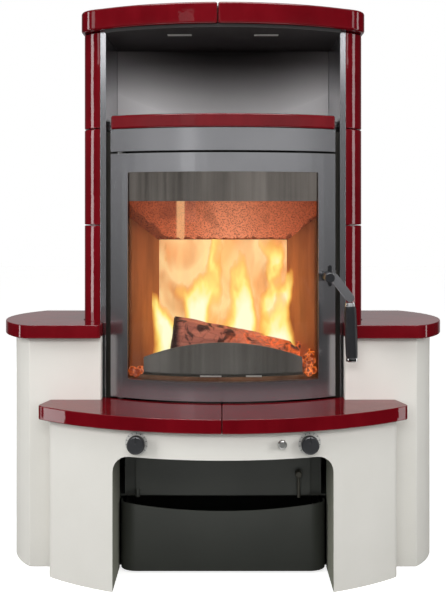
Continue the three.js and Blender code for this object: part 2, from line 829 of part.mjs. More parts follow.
// Rod of the handle with its collar and end, and the grip round it. Both stand on z before they are placed.
function handleParts() {
  const endTop = endCapHeight;
  const gripTop = endTop + gripLength + 2 * fit;
  const top = gripTop + collarHeight;
  const core = [
    [0, 0],
    [collarRadius - 3, 0],
    [gripRadius, 3],
    [gripRadius, endTop],
    [handleRodRadius, endTop],
    [handleRodRadius, gripTop],
    [collarRadius, gripTop],
    [collarRadius - 1, top],
    [0, top],
  ];
  const bore = handleRodRadius + fit;
  const low = endTop + fit;
  const grip = [
    [bore, low],
    [gripRadius - 1, low],
    [gripRadius, low + 8],
    [gripRadius + 1, low + gripLength / 2],
    [gripRadius, low + gripLength - 8],
    [collarRadius, low + gripLength],
    [bore, low + gripLength],
    [bore, low],
  ];
  const lathe = (profile, sides) =>
    new THREE.LatheGeometry(profile.map(([radius, height]) => at(radius, height)), sides);
  const place = (geometry) =>
    solidOf(
      geometry
        .rotateX(Math.PI / 2)
        .translate(0, 0, -top - leverWidth / 2 - fit)
        .rotateY(THREE.MathUtils.degToRad(-gripTilt))
        .translate(handleX + leverReach, handleDepth, handleZ - leverReach),
    );
  return { handle_rod: place(lathe(core, 24)), handle_grip: place(lathe(grip, 24)) };
}

// ---------- Air knobs, scales and grate pull ----------

function airKnob(side) {
  const x = side * knobX;
  const back = bowY(benchBow, knobX - knobRadius, bodySetback) - knobStandoff;
  const front = back - knobLength;
  const knob = turned(x, knobZ, [
    [0, front],
    [knobRadius - 3, front],
    [knobRadius, front + 3],
    [knobRadius, back],
    [spindleRadius, back],
    [spindleRadius, ashBoxFront + ashWall + 14],
    [0, ashBoxFront + ashWall + 14],
  ]);
  return knob.subtract(box(x - 1.2, x + 1.2, front - 1, front + 1.5, knobZ + 5, knobZ + knobRadius + 1));
}

// Round scale that lies against the bowed apron.
function airScale(side) {
  const x = side * knobX;
  const front = bodySetback - scaleThickness;
  const plate = band(benchBow, front, bodySetback - fit, archHalf, knobZ - 40, knobZ + 40);
  return plate
    .intersect(rod(x, knobZ, scaleRadius, 0, columnDepth, 32))
    .subtract(rod(x, knobZ, spindleRadius + 1, 0, columnDepth));
}

function gratePull() {
  const face = bowY(benchBow, pullX + pullRadius, bodySetback);
  const back = face - knobStandoff - 6;
  const rodNear = back - 4;
  return {
    grate_pull_knob: turned(pullX, pullZ, [
      [0, back - 16],
      [pullRadius - 3, back - 16],
      [pullRadius, back - 13],
      [pullRadius, back - 3],
      [pullRadius - 4, back],
      [pullRodRadius + fit, back],
      [pullRodRadius + fit, rodNear - fit],
      [0, rodNear - fit],
    ], 20),
    grate_pull_rod: rod(pullX, pullZ, pullRodRadius, rodNear, ashBoxFront + ashWall + pullStroke + 20, 14),
  };
}

// ---------- Ash box, ash door and ash pan ----------

const ashHingeX = 4 - ashDoorHalf;
const ashDoorBack = ashBoxFront - 2;
const ashHingeY = ashDoorBack - ashDoorThickness + 2;
const ashDoorLow = ashOpeningLow - ashDoorLap;
const ashDoorHigh = ashOpeningHigh + ashDoorLap;
const ashKnuckle = 6;

function ashBox() {
  const high = shellLow - fit;
  const floor = ashBoxLow + ashWall;
  const inner = mouthHalf - ashWall;
  let made = box(-mouthHalf, mouthHalf, ashBoxFront, shellBack, ashBoxLow, high)
    .add(box(-sheetHalf, sheetHalf, ashBoxFront, shellBack, ashBoxLow, floor))
    .subtract(box(-inner, inner, ashBoxFront + ashWall, shellBack - ashWall, floor, high + 1))
    .subtract(box(-ashOpeningHalf, ashOpeningHalf, 0, shellBack - 50, ashOpeningLow, ashOpeningHigh))
    .subtract(rod(pullX, pullZ, pullRodRadius + runningFit, 0, shellBack - 50, 14));
  for (const side of [-1, 1]) {
    made = made.subtract(rod(side * knobX, knobZ, spindleRadius + runningFit, 0, shellBack - 50));
  }
  const earHeight = ashWall - fit;
  const ears = [
    [ashDoorLow - fit - earHeight, ashDoorLow + 11],
    [ashDoorHigh + fit, ashDoorHigh - 11],
  ];
  for (const [low, pinEnd] of ears) {
    const pin = [Math.min(low, pinEnd), Math.max(low + earHeight, pinEnd)];
    const left = ashHingeX - ashKnuckle;
    const right = ashHingeX + ashKnuckle;
    made = made
      .add(box(left, right, ashHingeY, ashBoxFront + 1, low, low + earHeight))
      .add(post(ashHingeX, ashHingeY, ashKnuckle, low, low + earHeight, 16))
      .add(post(ashHingeX, ashHingeY, 2.5, ...pin, 12));
  }
  return made;
}

function ashDoor() {
  const plate = roundedRect(-ashDoorHalf, ashDoorHalf, ashDoorLow, ashDoorHigh, 6, 3);
  let door = prism(plate, ashDoorBack - ashDoorThickness, ashDoorBack);
  for (const [low, high] of [[ashDoorLow, ashDoorLow + 16], [ashDoorHigh - 16, ashDoorHigh]]) {
    door = door.add(post(ashHingeX, ashHingeY, ashKnuckle, low, high, 16));
  }
  return door
    .subtract(post(ashHingeX, ashHingeY, 2.5 + runningFit, ashDoorLow - 1, ashDoorLow + 13, 12))
    .subtract(post(ashHingeX, ashHingeY, 2.5 + runningFit, ashDoorHigh - 13, ashDoorHigh + 1, 12))
    .subtract(rod(ashLatchX, ashLatchZ, 4 + runningFit, 0, ashBoxFront, 16));
}

// Hanging latch: boss and spindle through the ash door, a short tongue behind it and a bar to turn it by.
function ashLatch() {
  const face = ashDoorBack - ashDoorThickness;
  const spindle = turned(ashLatchX, ashLatchZ, [
    [0, face - 20],
    [7, face - 20],
    [9, face - 18],
    [9, face - fit],
    [4, face - fit],
    [4, ashDoorBack + 6],
    [0, ashDoorBack + 6],
  ], 18);
  const tongue = { near: ashDoorBack + 2.4, far: ashDoorBack + 6 };
  return spindle
    .add(post(ashLatchX, face - 14, 4, ashLatchZ - ashLatchDrop, ashLatchZ, 12))
    .add(box(ashLatchX - 4, ashLatchX + 10, tongue.near, tongue.far, ashLatchZ - 4, ashLatchZ + 4));
}

function ashPan() {
  const low = ashBoxLow + ashWall + fit;
  const near = ashBoxFront + ashWall + 4;
  const far = shellBack - 20;
  const half = panHalf - panWall;
  const pan = box(-panHalf, panHalf, near, far, low, panTop);
  return pan.subtract(box(-half, half, near + panWall, far - panWall, low + panWall, panTop + 1));
}

// ---------- Wood drawer ----------

// U-shaped plan of the drawer's front with its round corners, set in by inset.
function drawerPlan(inset, back) {
  const half = drawerHalf - inset;
  const radius = drawerCorner - inset;
  const centreX = drawerHalf - drawerCorner;
  const corner = arcPoints(centreX, drawerFrontDepth + drawerCorner, radius, -90, 0, 7);
  return [at(0, drawerFrontDepth + inset), ...corner, at(half, back)];
}

function woodDrawer() {
  const low = baseThickness + drawerLift;
  const frontBack = drawerFrontDepth + drawerCorner + 14;
  const rise = drawerEdgeTop - drawerFrontTop;
  const radius = arcRadius(drawerDipHalf, rise);
  const reach = THREE.MathUtils.radToDeg(Math.asin(drawerDipHalf / radius));
  const dip = [
    ...arcPoints(0, drawerFrontTop + radius, radius, 270 - reach, 270 + reach, 14),
    at(drawerDipHalf, drawerEdgeTop + 1),
    at(-drawerDipHalf, drawerEdgeTop + 1),
  ];
  const front = slab(bothSides(drawerPlan(0, frontBack)), low + 1.5, drawerEdgeTop)
    .subtract(slab(bothSides(drawerPlan(drawerSheet, frontBack + 1)), 0, drawerEdgeTop + 1))
    .subtract(prism(dip, 0, frontBack + 1));
  const inset = drawerSheet + fit;
  const tubWall = inset + drawerWall;
  const tub = slab(bothSides(drawerPlan(inset, shellBack)), low, drawerSideTop).subtract(
    slab(bothSides(drawerPlan(tubWall, shellBack - drawerWall)), low + drawerWall, drawerSideTop + 1),
  );
  return { drawer_front: front, drawer_tub: tub };
}

// ---------- Finishes ----------

const finishes = {
  glaze: { color: 0x78141c, roughness: 0.12, metalness: 0 },
  plaster: { color: 0xdedcd7, roughness: 0.7, metalness: 0 },
  steel: { color: 0x6a6a6d, roughness: 0.45, metalness: 0.4 },
  darkSteel: { color: 0x3e403c, roughness: 0.5, metalness: 0.4 },
  bareSteel: { color: 0x9a9a98, roughness: 0.35, metalness: 1 },
  castIron: { color: 0x4b4a42, roughness: 0.6, metalness: 0.3 },
  fireclay: { color: 0x9a6238, roughness: 0.9, metalness: 0 },
  filter: { color: 0xb0562c, roughness: 0.95, metalness: 0 },
  glass: { color: 0xd8dcd8, roughness: 0.05, metalness: 0, transparent: true, opacity: 0.3 },
  chrome: { color: 0xc8c8c8, roughness: 0.12, metalness: 1 },
  black: { color: 0x26262a, roughness: 0.4, metalness: 0 },
  rope: { color: 0x55544f, roughness: 1, metalness: 0 },
  wood: { color: 0x6e4632, roughness: 0.9, metalness: 0 },
  ember: { color: 0x7a2c12, roughness: 1, metalness: 0 },
};

// ---------- Assembly ----------

const group = new THREE.Group();
group.position.y = -(columnDepth + flueReach) / 2;

function add(finish, pieces) {
  for (const [name, solid] of Object.entries(pieces)) {
    const material = new THREE.MeshStandardMaterial({ ...finishes[finish], flatShading: true });
    const mesh = new THREE.Mesh(geometryOf(solid), material);
    mesh.name = name;
    group.add(mesh);
  }
}

const leftBench = sideBench(-1);
const rightBench = sideBench(1);
const handle = handleParts();
const fittings = doorFittings();
const pull = gratePull();
const pinFoot = doorLow - hingePlate - 0.5;
const pinHead = doorHigh + 0.5;

add("glaze", {
  ...benchTiles(),
  side_bench_tile_left: leftBench.tile,
  side_bench_tile_right: rightBench.tile,
  ...columnTiles(),
  ...capTiles(),
  shelf_tile: shelfTile(),
});
add("plaster", {
  front_bench_body: benchBody(),
  side_bench_body_left: leftBench.body,
  side_bench_body_right: rightBench.body,
});
add("steel", {
  side_panel_left: sidePanel(-1),
  side_panel_right: sidePanel(1),
  fascia: fascia(),
  top_plate: topPlate(),
  door_frame: doorFrame(),
  handle_lever: handleLever(),
});
add("darkSteel", {
  niche_floor: nicheFloor(),
  niche_back: nicheBack(),
  back_panel: backPanel(),
  base_plate: box(-sheetHalf, sheetHalf, ashBoxFront, panelBack, 0, baseThickness),
  firebox_shell: fireboxShell(),
  ash_box: ashBox(),
  ash_door: ashDoor(),
  ...woodDrawer(),
  flue_spigot: flueSpigot(),
  smoke_baffle: smokeBaffle(),
});
add("castIron", { fire_grate: fireGrate(), log_guard: logGuard() });
add("fireclay", { ...linings(), hearth_slab: hearthSlab() });
add("filter", { ceramic_filter: prism(filterOutline(0), filterNear, filterFar) });
add("glass", { door_glass: fittings.door_glass });
add("bareSteel", {
  air_scale_left: airScale(-1),
  air_scale_right: airScale(1),
  ...pull,
  ash_pan: ashPan(),
  ash_latch: ashLatch(),
  glass_retainer: fittings.glass_retainer,
  door_hinge_lower: hingeBracket(pinFoot, pinFoot, doorLow + pinLength),
  door_hinge_upper: hingeBracket(pinHead, doorHigh - pinLength, pinHead + hingePlate),
  latch_keeper: latchKeeper(),
});
add("chrome", { handle_rod: handle.handle_rod });
add("black", {
  handle_grip: handle.handle_grip,
  latch_spindle: latchSpindle(),
  handle_escutcheon: handleEscutcheon(),
  primary_air_knob: airKnob(-1),
  secondary_air_knob: airKnob(1),
});
add("rope", { door_seal: fittings.door_seal });
add("wood", { firewood_log: log(0) });
add("ember", { ember_bed: emberBed() });

export default group;
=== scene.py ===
"""A tiled wood stove: studio, finishes and fine surfaces round the fixed frame. Metres, front towards -Y."""

import logging
import math
import random
from dataclasses import dataclass, field
from enum import Enum
from typing import Callable, Iterable, Sequence

import bmesh
import bpy
from mathutils import Matrix, Vector


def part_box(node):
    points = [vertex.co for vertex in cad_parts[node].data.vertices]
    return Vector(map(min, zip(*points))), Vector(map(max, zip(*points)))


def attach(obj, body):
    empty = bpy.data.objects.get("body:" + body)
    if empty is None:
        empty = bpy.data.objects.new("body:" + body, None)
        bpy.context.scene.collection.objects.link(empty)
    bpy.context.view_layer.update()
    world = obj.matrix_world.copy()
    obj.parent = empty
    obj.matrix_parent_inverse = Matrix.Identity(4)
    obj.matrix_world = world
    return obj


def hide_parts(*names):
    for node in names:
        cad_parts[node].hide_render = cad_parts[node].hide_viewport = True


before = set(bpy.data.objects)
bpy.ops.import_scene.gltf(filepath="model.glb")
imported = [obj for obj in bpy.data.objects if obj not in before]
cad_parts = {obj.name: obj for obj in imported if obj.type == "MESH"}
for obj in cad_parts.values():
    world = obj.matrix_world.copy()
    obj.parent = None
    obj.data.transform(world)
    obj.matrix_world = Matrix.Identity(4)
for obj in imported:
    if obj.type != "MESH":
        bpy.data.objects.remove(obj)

log = logging.getLogger("tiled_stove")

Colour = tuple[float, float, float, float]
Place = tuple[float, float, float]
Socket = bpy.types.NodeSocket
Node = bpy.types.Node
Solid = bmesh.types.BMesh

MM = 0.001
WHITE: Colour = (1, 1, 1, 1)
BLACK: Colour = (0, 0, 0, 1)


# ---------- Shader building blocks ----------


def linear(red: float, green: float, blue: float) -> Colour:
    """Turns a colour written as 0-255 sRGB into linear light with full alpha.

    Args:
        red: Red part, 0 to 255.
        green: Green part, 0 to 255.
        blue: Blue part, 0 to 255.

    Returns:
        Linear red, green, blue and alpha.
    """
    parts = [c / 255 for c in (red, green, blue)]
    lit = [p / 12.92 if p <= 0.04045 else ((p + 0.055) / 1.055) ** 2.4 for p in parts]
    return (lit[0], lit[1], lit[2], 1.0)


class Value:
    """A number in a node tree, on which plain arithmetic adds Math nodes."""

    def __init__(self, graph: "Graph", socket: Socket) -> None:
        """Keeps the graph, and the socket that gives the number."""
        self.graph = graph
        self.socket = socket

    def __add__(self, other: object) -> "Value":
        """Adds a number."""
        return self.graph.calc("ADD", self, other)

    def __sub__(self, other: object) -> "Value":
        """Takes a number away."""
        return self.graph.calc("SUBTRACT", self, other)

    def __rsub__(self, other: float) -> "Value":
        """Takes this value away from a number."""
        return self.graph.calc("SUBTRACT", other, self)

    def __mul__(self, other: object) -> "Value":
        """Multiplies by a number."""
        return self.graph.calc("MULTIPLY", self, other)

    def __pow__(self, power: float) -> "Value":
        """Raises to a power."""
        return self.graph.calc("POWER", self, power)

    def __abs__(self) -> "Value":
        """Drops the sign."""
        return self.graph.calc("ABSOLUTE", self)

    def __lt__(self, other: object) -> "Value":
        """Gives 1 where this value is the lower one, and 0 elsewhere."""
        return self.graph.calc("LESS_THAN", self, other)

    def mapped(self, low: float, high: float, to_low: float = 0.0, to_high: float = 1.0) -> "Value":
        """Maps a range of the value to another one, clamped.

        Args:
            low: Start of the range.
            high: End of the range.
            to_low: Result at the start and before it.
            to_high: Result at the end and past it.

        Returns:
            The mapped value.
        """
        made = self.graph.node(
            "ShaderNodeMapRange", Value=self, From_Min=low, From_Max=high, To_Min=to_low, To_Max=to_high
        )
        return Value(self.graph, made.outputs["Result"])


class Graph:
    """Adds nodes to one node tree and joins them, so that a finish reads from top to bottom."""

    def __init__(self, tree: bpy.types.NodeTree) -> None:
        """Keeps the tree of a material, a world or a node group."""
        self.tree = tree

    def node(self, kind: str, settings: dict | None = None, **inputs: object) -> Node:
        """Adds a node.

        Args:
            kind: Node type, such as ShaderNodeTexNoise.
            settings: Properties of the node itself.
            **inputs: What its inputs get, with underscores for spaces.

        Returns:
            The new node.
        """
        made = self.tree.nodes.new(kind)
        for name, value in (settings or {}).items():
            setattr(made, name, value)
        return self.fill(made, **inputs)

    def fill(self, node: Node, **inputs: object) -> Node:
        """Fills inputs of a node.

        Args:
            node: Node to fill.
            **inputs: What its inputs get, with underscores for spaces.

        Returns:
            The same node.
        """
        for name, value in inputs.items():
            self.feed(node.inputs[name.replace("_", " ")], value)
        return node

    def shade(self, **inputs: object) -> None:
        """Fills inputs of the material's Principled shader."""
        self.fill(self.tree.nodes["Principled BSDF"], **inputs)

    def feed(self, socket: Socket, value: object) -> None:
        """Links a socket to what feeds it, or sets its value.

        Args:
            socket: Input to fill.
            value: Value, output socket, number, vector or colour.
        """
        source = value.socket if isinstance(value, Value) else value
        if isinstance(source, Socket):
            self.tree.links.new(source, socket)
        else:
            socket.default_value = source

    def paired(self, kind: str, operation: str, first: object, second: object) -> Node:
        """Adds a node that joins its first two inputs by an operation.

        Args:
            kind: Node type, such as ShaderNodeMath.
            operation: The operation.
            first: What the first input gets.
            second: What the second input gets.

        Returns:
            The new node.
        """
        made = self.node(kind, {"operation": operation})
        self.feed(made.inputs[0], first)
        self.feed(made.inputs[1], second)
        return made

    def calc(self, operation: str, first: object, second: object = 0.0) -> Value:
        """Joins one or two numbers by a Math node."""
        return Value(self, self.paired("ShaderNodeMath", operation, first, second).outputs["Value"])

    def place(self) -> Socket:
        """Gives the object coordinates, which are the stove's own."""
        return self.node("ShaderNodeTexCoord").outputs["Object"]

    def stretched(self, scale: Place, shift: Place = (0.0, 0.0, 0.0)) -> Socket:
        """Gives the object coordinates scaled apart along each axis, then shifted."""
        made = self.node("ShaderNodeMapping", Vector=self.place(), Location=shift, Scale=scale)
        return made.outputs["Vector"]

    def axis(self, name: str, source: Socket | None = None) -> Value:
        """Gives X, Y or Z of a vector, or else of the object coordinates."""
        return Value(self, self.node("ShaderNodeSeparateXYZ", Vector=source or self.place()).outputs[name])

    def noise(self, scale: object, detail: float, where: Socket, roughness: float = 0.55,
              distortion: float = 0.0) -> Value:
        """Gives a cloudy value from 0 to 1.

        Args:
            scale: Clouds per metre.
            detail: Octaves.
            where: Coordinates.
            roughness: Weight of the fine octaves.
            distortion: Swirl of the clouds.

        Returns:
            The noise.
        """
        made = self.node(
            "ShaderNodeTexNoise", Vector=where, Scale=scale, Detail=detail, Roughness=roughness,
            Distortion=distortion,
        )
        return Value(self, made.outputs["Fac"])

    def cells(self, feature: str, scale: float, where: Socket) -> Value:
        """Gives distances in a pattern of cells: F1 from their middles, DISTANCE_TO_EDGE from their edges."""
        made = self.node("ShaderNodeTexVoronoi", {"feature": feature}, Vector=where, Scale=scale)
        return Value(self, made.outputs["Distance"])

    def ramp(self, value: Value, stops: Sequence[tuple[float, Colour]]) -> Socket:
        """Turns a value into a colour.

        Args:
            value: Value from 0 to 1.
            stops: Pairs of place and linear colour, two or more.

        Returns:
            The colour.
        """
        made = self.node("ShaderNodeValToRGB", Fac=value)
        band = made.color_ramp
        while len(band.elements) < len(stops):
            band.elements.new(0.5)
        for element, (place, _) in zip(band.elements, stops):
            element.position = place
        for element, (_, colour) in zip(band.elements, stops):
            element.color = colour
        return made.outputs["Color"]

    def mix(self, share: object, first: object, second: object) -> Socket:
        """Mixes two colours.

        Args:
            share: Share of the second colour.
            first: First colour.
            second: Second colour.

        Returns:
            The mixed colour.
        """
        made = self.node("ShaderNodeMix", {"data_type": "RGBA"})
        for place, value in ((0, share), (6, first), (7, second)):
            self.feed(made.inputs[place], value)
        return made.outputs[2]

    def bump(self, height: object, depth: float, strength: float = 1.0) -> Socket:
        """Gives a normal from a height of 0 to 1 that stands for a depth in metres."""
        return self.node("ShaderNodeBump", Height=height, Distance=depth, Strength=strength).outputs["Normal"]


@dataclass(frozen=True)
class SharedEffect:
    """A node group that several finishes use: its name, inputs with start values, and outputs."""

    name: str
    inputs: tuple[tuple[str, str, object], ...]
    outputs: tuple[tuple[str, str], ...]
    wire: Callable[[Graph, dict[str, Socket]], dict[str, object]]

    def tree(self) -> bpy.types.NodeTree:
        """Gives the group's tree, made on first use.

        Returns:
            The tree, the same one each time.
        """
        made = bpy.data.node_groups.get(self.name)
        if made:
            return made
        made = bpy.data.node_groups.new(self.name, "ShaderNodeTree")
        for name, kind, start in self.inputs:
            socket = made.interface.new_socket(name, in_out="INPUT", socket_type=f"NodeSocket{kind}")
            socket.default_value = start
        for name, kind in self.outputs:
            made.interface.new_socket(name, in_out="OUTPUT", socket_type=f"NodeSocket{kind}")
        graph = Graph(made)
        results = self.wire(graph, graph.node("NodeGroupInput").outputs)
        graph.node("NodeGroupOutput", **results)
        return made

    def add(self, graph: Graph, **values: object) -> dict[str, Socket]:
        """Places the group in a material, fills its inputs and gives its outputs."""
        return graph.node("ShaderNodeGroup", {"node_tree": self.tree()}, **values).outputs


def wire_tone(graph: Graph, given: dict[str, Socket]) -> dict[str, object]:
    """Wires soft changes of tone and gloss over a painted, cast or fired surface.

    Args:
        graph: Graph of the group.
        given: The group's inputs by name.

    Returns:
        The group's outputs by name.
    """
    where = graph.place()
    drift = graph.noise(6.0, 3.0, where).mapped(0.3, 0.7)
    grain = graph.noise(given["Grain Scale"], 2.0, where, 0.5)
    share = drift * 0.6 + grain.mapped(0.35, 0.65) * 0.4
    return {
        "Colour": graph.mix(share, given["Colour"], given["Second Colour"]),
        "Roughness": drift * given["Gloss Change"] + given["Roughness"],
        "Height": grain,
    }


TONE = SharedEffect(
    "surface tone",
    (
        ("Colour", "Color", (0.5, 0.5, 0.5, 1)),
        ("Second Colour", "Color", (0.5, 0.5, 0.5, 1)),
        ("Grain Scale", "Float", 900.0),
        ("Roughness", "Float", 0.4),
        ("Gloss Change", "Float", 0.05),
    ),
    (("Colour", "Color"), ("Roughness", "Float"), ("Height", "Float")),
    wire_tone,
)


def wire_firelight(graph: Graph, given: dict[str, Socket]) -> dict[str, object]:
    """Wires the warm light that a surface near the fire gives back, strongest round the flames.

    Args:
        graph: Graph of the group.
        given: The group's inputs by name.

    Returns:
        The group's outputs by name.
    """
    where = graph.place()
    away = graph.paired("ShaderNodeVectorMath", "DISTANCE", where, given["Heart"]).outputs["Value"]
    near = Value(graph, away).mapped(0.08, 0.42, 1.0, 0.0) ** 1.6
    patches = graph.noise(9.0, 2.0, where).mapped(0.3, 0.7, 0.75, 1.0)
    return {"Glow": graph.mix(near * patches, given["Dim Colour"], given["Bright Colour"])}


FIRELIGHT = SharedEffect(
    "firelight",
    (
        ("Heart", "Vector", (0.02, 0.02, 0.66)),
        ("Dim Colour", "Color", BLACK),
        ("Bright Colour", "Color", (1.0, 0.35, 0.08, 1)),
    ),
    (("Glow", "Color"),),
    wire_firelight,
)


# ---------- Finishes ----------


def new_material(name: str) -> tuple[bpy.types.Material, Graph]:
    """Makes a material.

    Args:
        name: Its name.

    Returns:
        The material, and the graph of its nodes.
    """
    made = bpy.data.materials.new(name)
    made.use_nodes = True
    return made, Graph(made.node_tree)


@dataclass(frozen=True)
class Finish:
    """What every finish has: a name, and a material that is made on first use."""

    name: str

    def material(self) -> bpy.types.Material:
        """Gives the finish's material.

        Returns:
            The material, the same one each time.
        """
        made = bpy.data.materials.get(self.name)
        if not made:
            made, graph = new_material(self.name)
            self.wire(graph)
        return made

    def wire(self, graph: Graph) -> None:
        """Wires the material's nodes."""
        raise NotImplementedError


@dataclass(frozen=True)
class Coating(Finish):
    """Paint, render, cast iron or bare metal: two near tones, a grain, and a gloss that drifts a little."""

    colour: Colour
    second: Colour
    roughness: float = 0.45
    gloss_change: float = 0.06
    metallic: float = 0.0
    grain: float = 1600.0
    grain_depth: float = 0.01 * MM

    def wire(self, graph: Graph) -> None:
        """Wires tone, gloss and grain.

        Args:
            graph: Graph of the material.
        """
        tone = TONE.add(
            graph, Colour=self.colour, Second_Colour=self.second, Grain_Scale=self.grain,
            Roughness=self.roughness, Gloss_Change=self.gloss_change,
        )
        graph.shade(
            Base_Color=self.painted(graph, tone["Colour"]), Roughness=tone["Roughness"],
            Metallic=self.metallic, Normal=graph.bump(tone["Height"], self.grain_depth),
        )

    def painted(self, graph: Graph, tone: Socket) -> Socket:
        """Gives the surface's colour, which on a plain coating is its tone."""
        return tone


@dataclass(frozen=True)
class Plaster(Coating):
    """Cream render, with painted shade: the reveals of the arch over the wood drawer in a darker grey."""

    half: float = 0.2636
    top: float = 0.3264
    turned_in: float = 0.6
    # painted shade: this grey on the arch's reveals stands for the shadow inside the arch
    reveal_shade: Colour = linear(138, 139, 126)

    def painted(self, graph: Graph, tone: Socket) -> Socket:
        """Paints shade: darkens what lies inside the arch and doesn't face the front.

        Args:
            graph: Graph of the material.
            tone: Colour of the render.

        Returns:
            The surface's colour.
        """
        facing = graph.axis("Y", graph.node("ShaderNodeTexCoord").outputs["Normal"])
        inside = (abs(graph.axis("X")) < self.half) * (graph.axis("Z") < self.top)
        return graph.mix(inside * (abs(facing) < self.turned_in), tone, self.reveal_shade)


@dataclass(frozen=True)
class ArcShadedPaint(Coating):
    """Steel paint of the warming niche, with a painted shadow: darkened in an arc under its ceiling."""

    clear: float = 1.165
    shade_full: float = 1.35
    arc: float = 0.85
    rise: float = 0.72
    soot_and_shade: Colour = (0.006, 0.005, 0.005, 1)

    def painted(self, graph: Graph, tone: Socket) -> Socket:
        """Paints the shadow: darkens the colour upwards, most in the middle.

        Args:
            graph: Graph of the material.
            tone: Colour of the paint.

        Returns:
            The surface's colour.
        """
        # painted shadow in an arc under the niche's ceiling
        height = graph.axis("Z") - graph.axis("X") ** 2.0 * self.arc
        return graph.mix(height.mapped(self.clear, self.shade_full) ** self.rise, tone, self.soot_and_shade)


@dataclass(frozen=True)
class Glaze(Finish):
    """Deep glaze over fired clay: clouded, fuller where it pooled, slightly uneven under a wet gloss."""

    body: Colour
    pooled: Colour
    thin: Colour

    def wire(self, graph: Graph) -> None:
        """Wires clouds, runs and flecks, and the skin over them.

        Args:
            graph: Graph of the material.
        """
        where = graph.place()
        clouds = graph.noise(7.0, 4.0, where).mapped(0.32, 0.68)
        runs = graph.noise(22.0, 2.0, graph.stretched((1.0, 1.0, 0.25))).mapped(0.5, 0.72, 0.0, 0.22)
        flecks = graph.noise(420.0, 2.0, where).mapped(0.66, 0.78, 0.0, 0.35)
        colour = graph.mix(clouds, self.body, self.pooled)
        for share in (runs, flecks):
            colour = graph.mix(share, colour, self.thin)
        skin = graph.noise(16.0, 2.0, where) + graph.noise(90.0, 1.0, where) * 0.12
        normal = graph.bump(skin, 1.2 * MM, 0.35)
        graph.shade(
            Base_Color=colour, Roughness=clouds.mapped(0.0, 1.0, 0.14, 0.22), Specular_IOR_Level=0.0,
            Coat_Weight=0.75, Coat_Roughness=0.035, Normal=normal, Coat_Normal=normal,
        )


@dataclass(frozen=True)
class ClearGlass(Finish):
    """Heat-proof window glass, with the faintest haze."""

    tint: Colour

    def wire(self, graph: Graph) -> None:
        """Sets plain glass, and wires its haze."""
        haze = graph.noise(5.0, 3.0, graph.place()).mapped(0.45, 0.75, 0.0, 0.03)
        graph.shade(Base_Color=self.tint, Transmission_Weight=1.0, IOR=1.28, Roughness=haze)


@dataclass(frozen=True)
class Firebrick(Finish):
    """Pale fired lining board, heat-stained, that gives back the light of the fire."""

    clay: Colour
    soot_and_shade: Colour
    dim: Colour
    bright: Colour
    heart: Place
    strength: float
    flare: Colour = (1.0, 0.7, 0.35, 1)
    flaring: float = 0.0

    def wire(self, graph: Graph) -> None:
        """Wires clay, stains, streaks, glow and the flicker of the flames on it.

        Args:
            graph: Graph of the material.
        """
        streaks = graph.noise(12.0, 4.0, graph.stretched((1.0, 1.0, 0.3)))
        stain = streaks.mapped(0.42, 0.7, 0.0, 0.8)
        glow = FIRELIGHT.add(graph, Heart=self.heart, Dim_Colour=self.dim, Bright_Colour=self.bright)["Glow"]
        # painted firelight, dimmed along the stain streaks
        stained_glow = graph.mix(streaks.mapped(0.4, 0.75, 0.0, 0.45), glow, (0.05, 0.012, 0.002, 1))
        licks = graph.noise(7.5, 2.0, graph.stretched((1.0, 1.0, 0.6)), 0.5, 1.5)
        flicker = licks.mapped(0.42, 0.62, 0.0, self.flaring)
        pores = graph.noise(260.0, 3.0, graph.place())
        graph.shade(
            Base_Color=graph.mix(stain, self.clay, self.soot_and_shade), Roughness=0.85,
            Emission_Color=graph.mix(flicker, stained_glow, self.flare), Emission_Strength=self.strength,
            Normal=graph.bump(pores, 0.4 * MM),
        )


@dataclass(frozen=True)
class CeramicFoam(Finish):
    """Open-pored ceramic filter, glowing from the fire below, darkened in its pores as painted shade, with a
    pale upright bar of painted light.
    """

    wall: Colour
    pore: Colour
    low: float
    high: float
    corner: float
    slope: float
    # place and half-width of a pale upright bar of painted light in the glow
    joint: float = -0.111
    light_bar_half: float = 0.013
    middle_x: float = 0.015

    def wire(self, graph: Graph) -> None:
        """Wires pores with painted shade, stains, glow with a bar of painted light, and the dark lower rim.

        Args:
            graph: Graph of the material.
        """
        where = graph.place()
        height = graph.axis("Z")
        side = abs(graph.axis("X") - self.middle_x)
        holes = graph.cells("F1", 330.0, where).mapped(0.22, 0.62, 1.0, 0.0)
        # painted shade: the pores darken, in colour and in glow
        dark = holes * graph.noise(330.0, 2.0, where).mapped(0.4, 0.62, 0.15, 1.0)
        stain = graph.noise(8.0, 3.0, where).mapped(0.52, 0.72, 0.0, 0.7)
        base = graph.mix(stain, graph.mix(dark, self.wall, self.pore), self.pore)
        middle = side.mapped(0.03, 0.24, 1.0, 0.28)
        rise = height.mapped(self.low, self.high, 1.0, 0.55)
        lit = middle * rise * stain.mapped(0.0, 0.7, 1.0, 0.25)
        hot = graph.mix(middle ** 2.0, (0.60, 0.10, 0.03, 1), (0.74, 0.27, 0.14, 1))
        glow = graph.mix(lit, (0.05, 0.005, 0.001, 1), graph.mix(dark, hot, (0.18, 0.02, 0.005, 1)))
        # painted light: a pale upright bar added to the glow
        joint = abs(graph.axis("X") - self.joint).mapped(self.light_bar_half * 0.6, self.light_bar_half, 0.75, 0.0)
        glow = graph.mix(joint, glow, (0.80, 0.44, 0.20, 1))
        corner = graph.calc("MAXIMUM", side - self.corner, 0.0) * self.slope
        ragged = height - self.low - corner + graph.noise(60.0, 4.0, where).mapped(0.3, 0.7, -0.006, 0.008)
        dark_rim = ragged < side.mapped(self.corner - 0.03, self.corner + 0.02, 0.005, 0.019)
        graph.shade(
            Base_Color=base, Roughness=0.95, Normal=graph.bump(1.0 - dark, 2.5 * MM),
            Emission_Color=graph.mix(dark_rim * 0.93, glow, (0.015, 0.002, 0.001, 1)), Emission_Strength=1.0,
        )


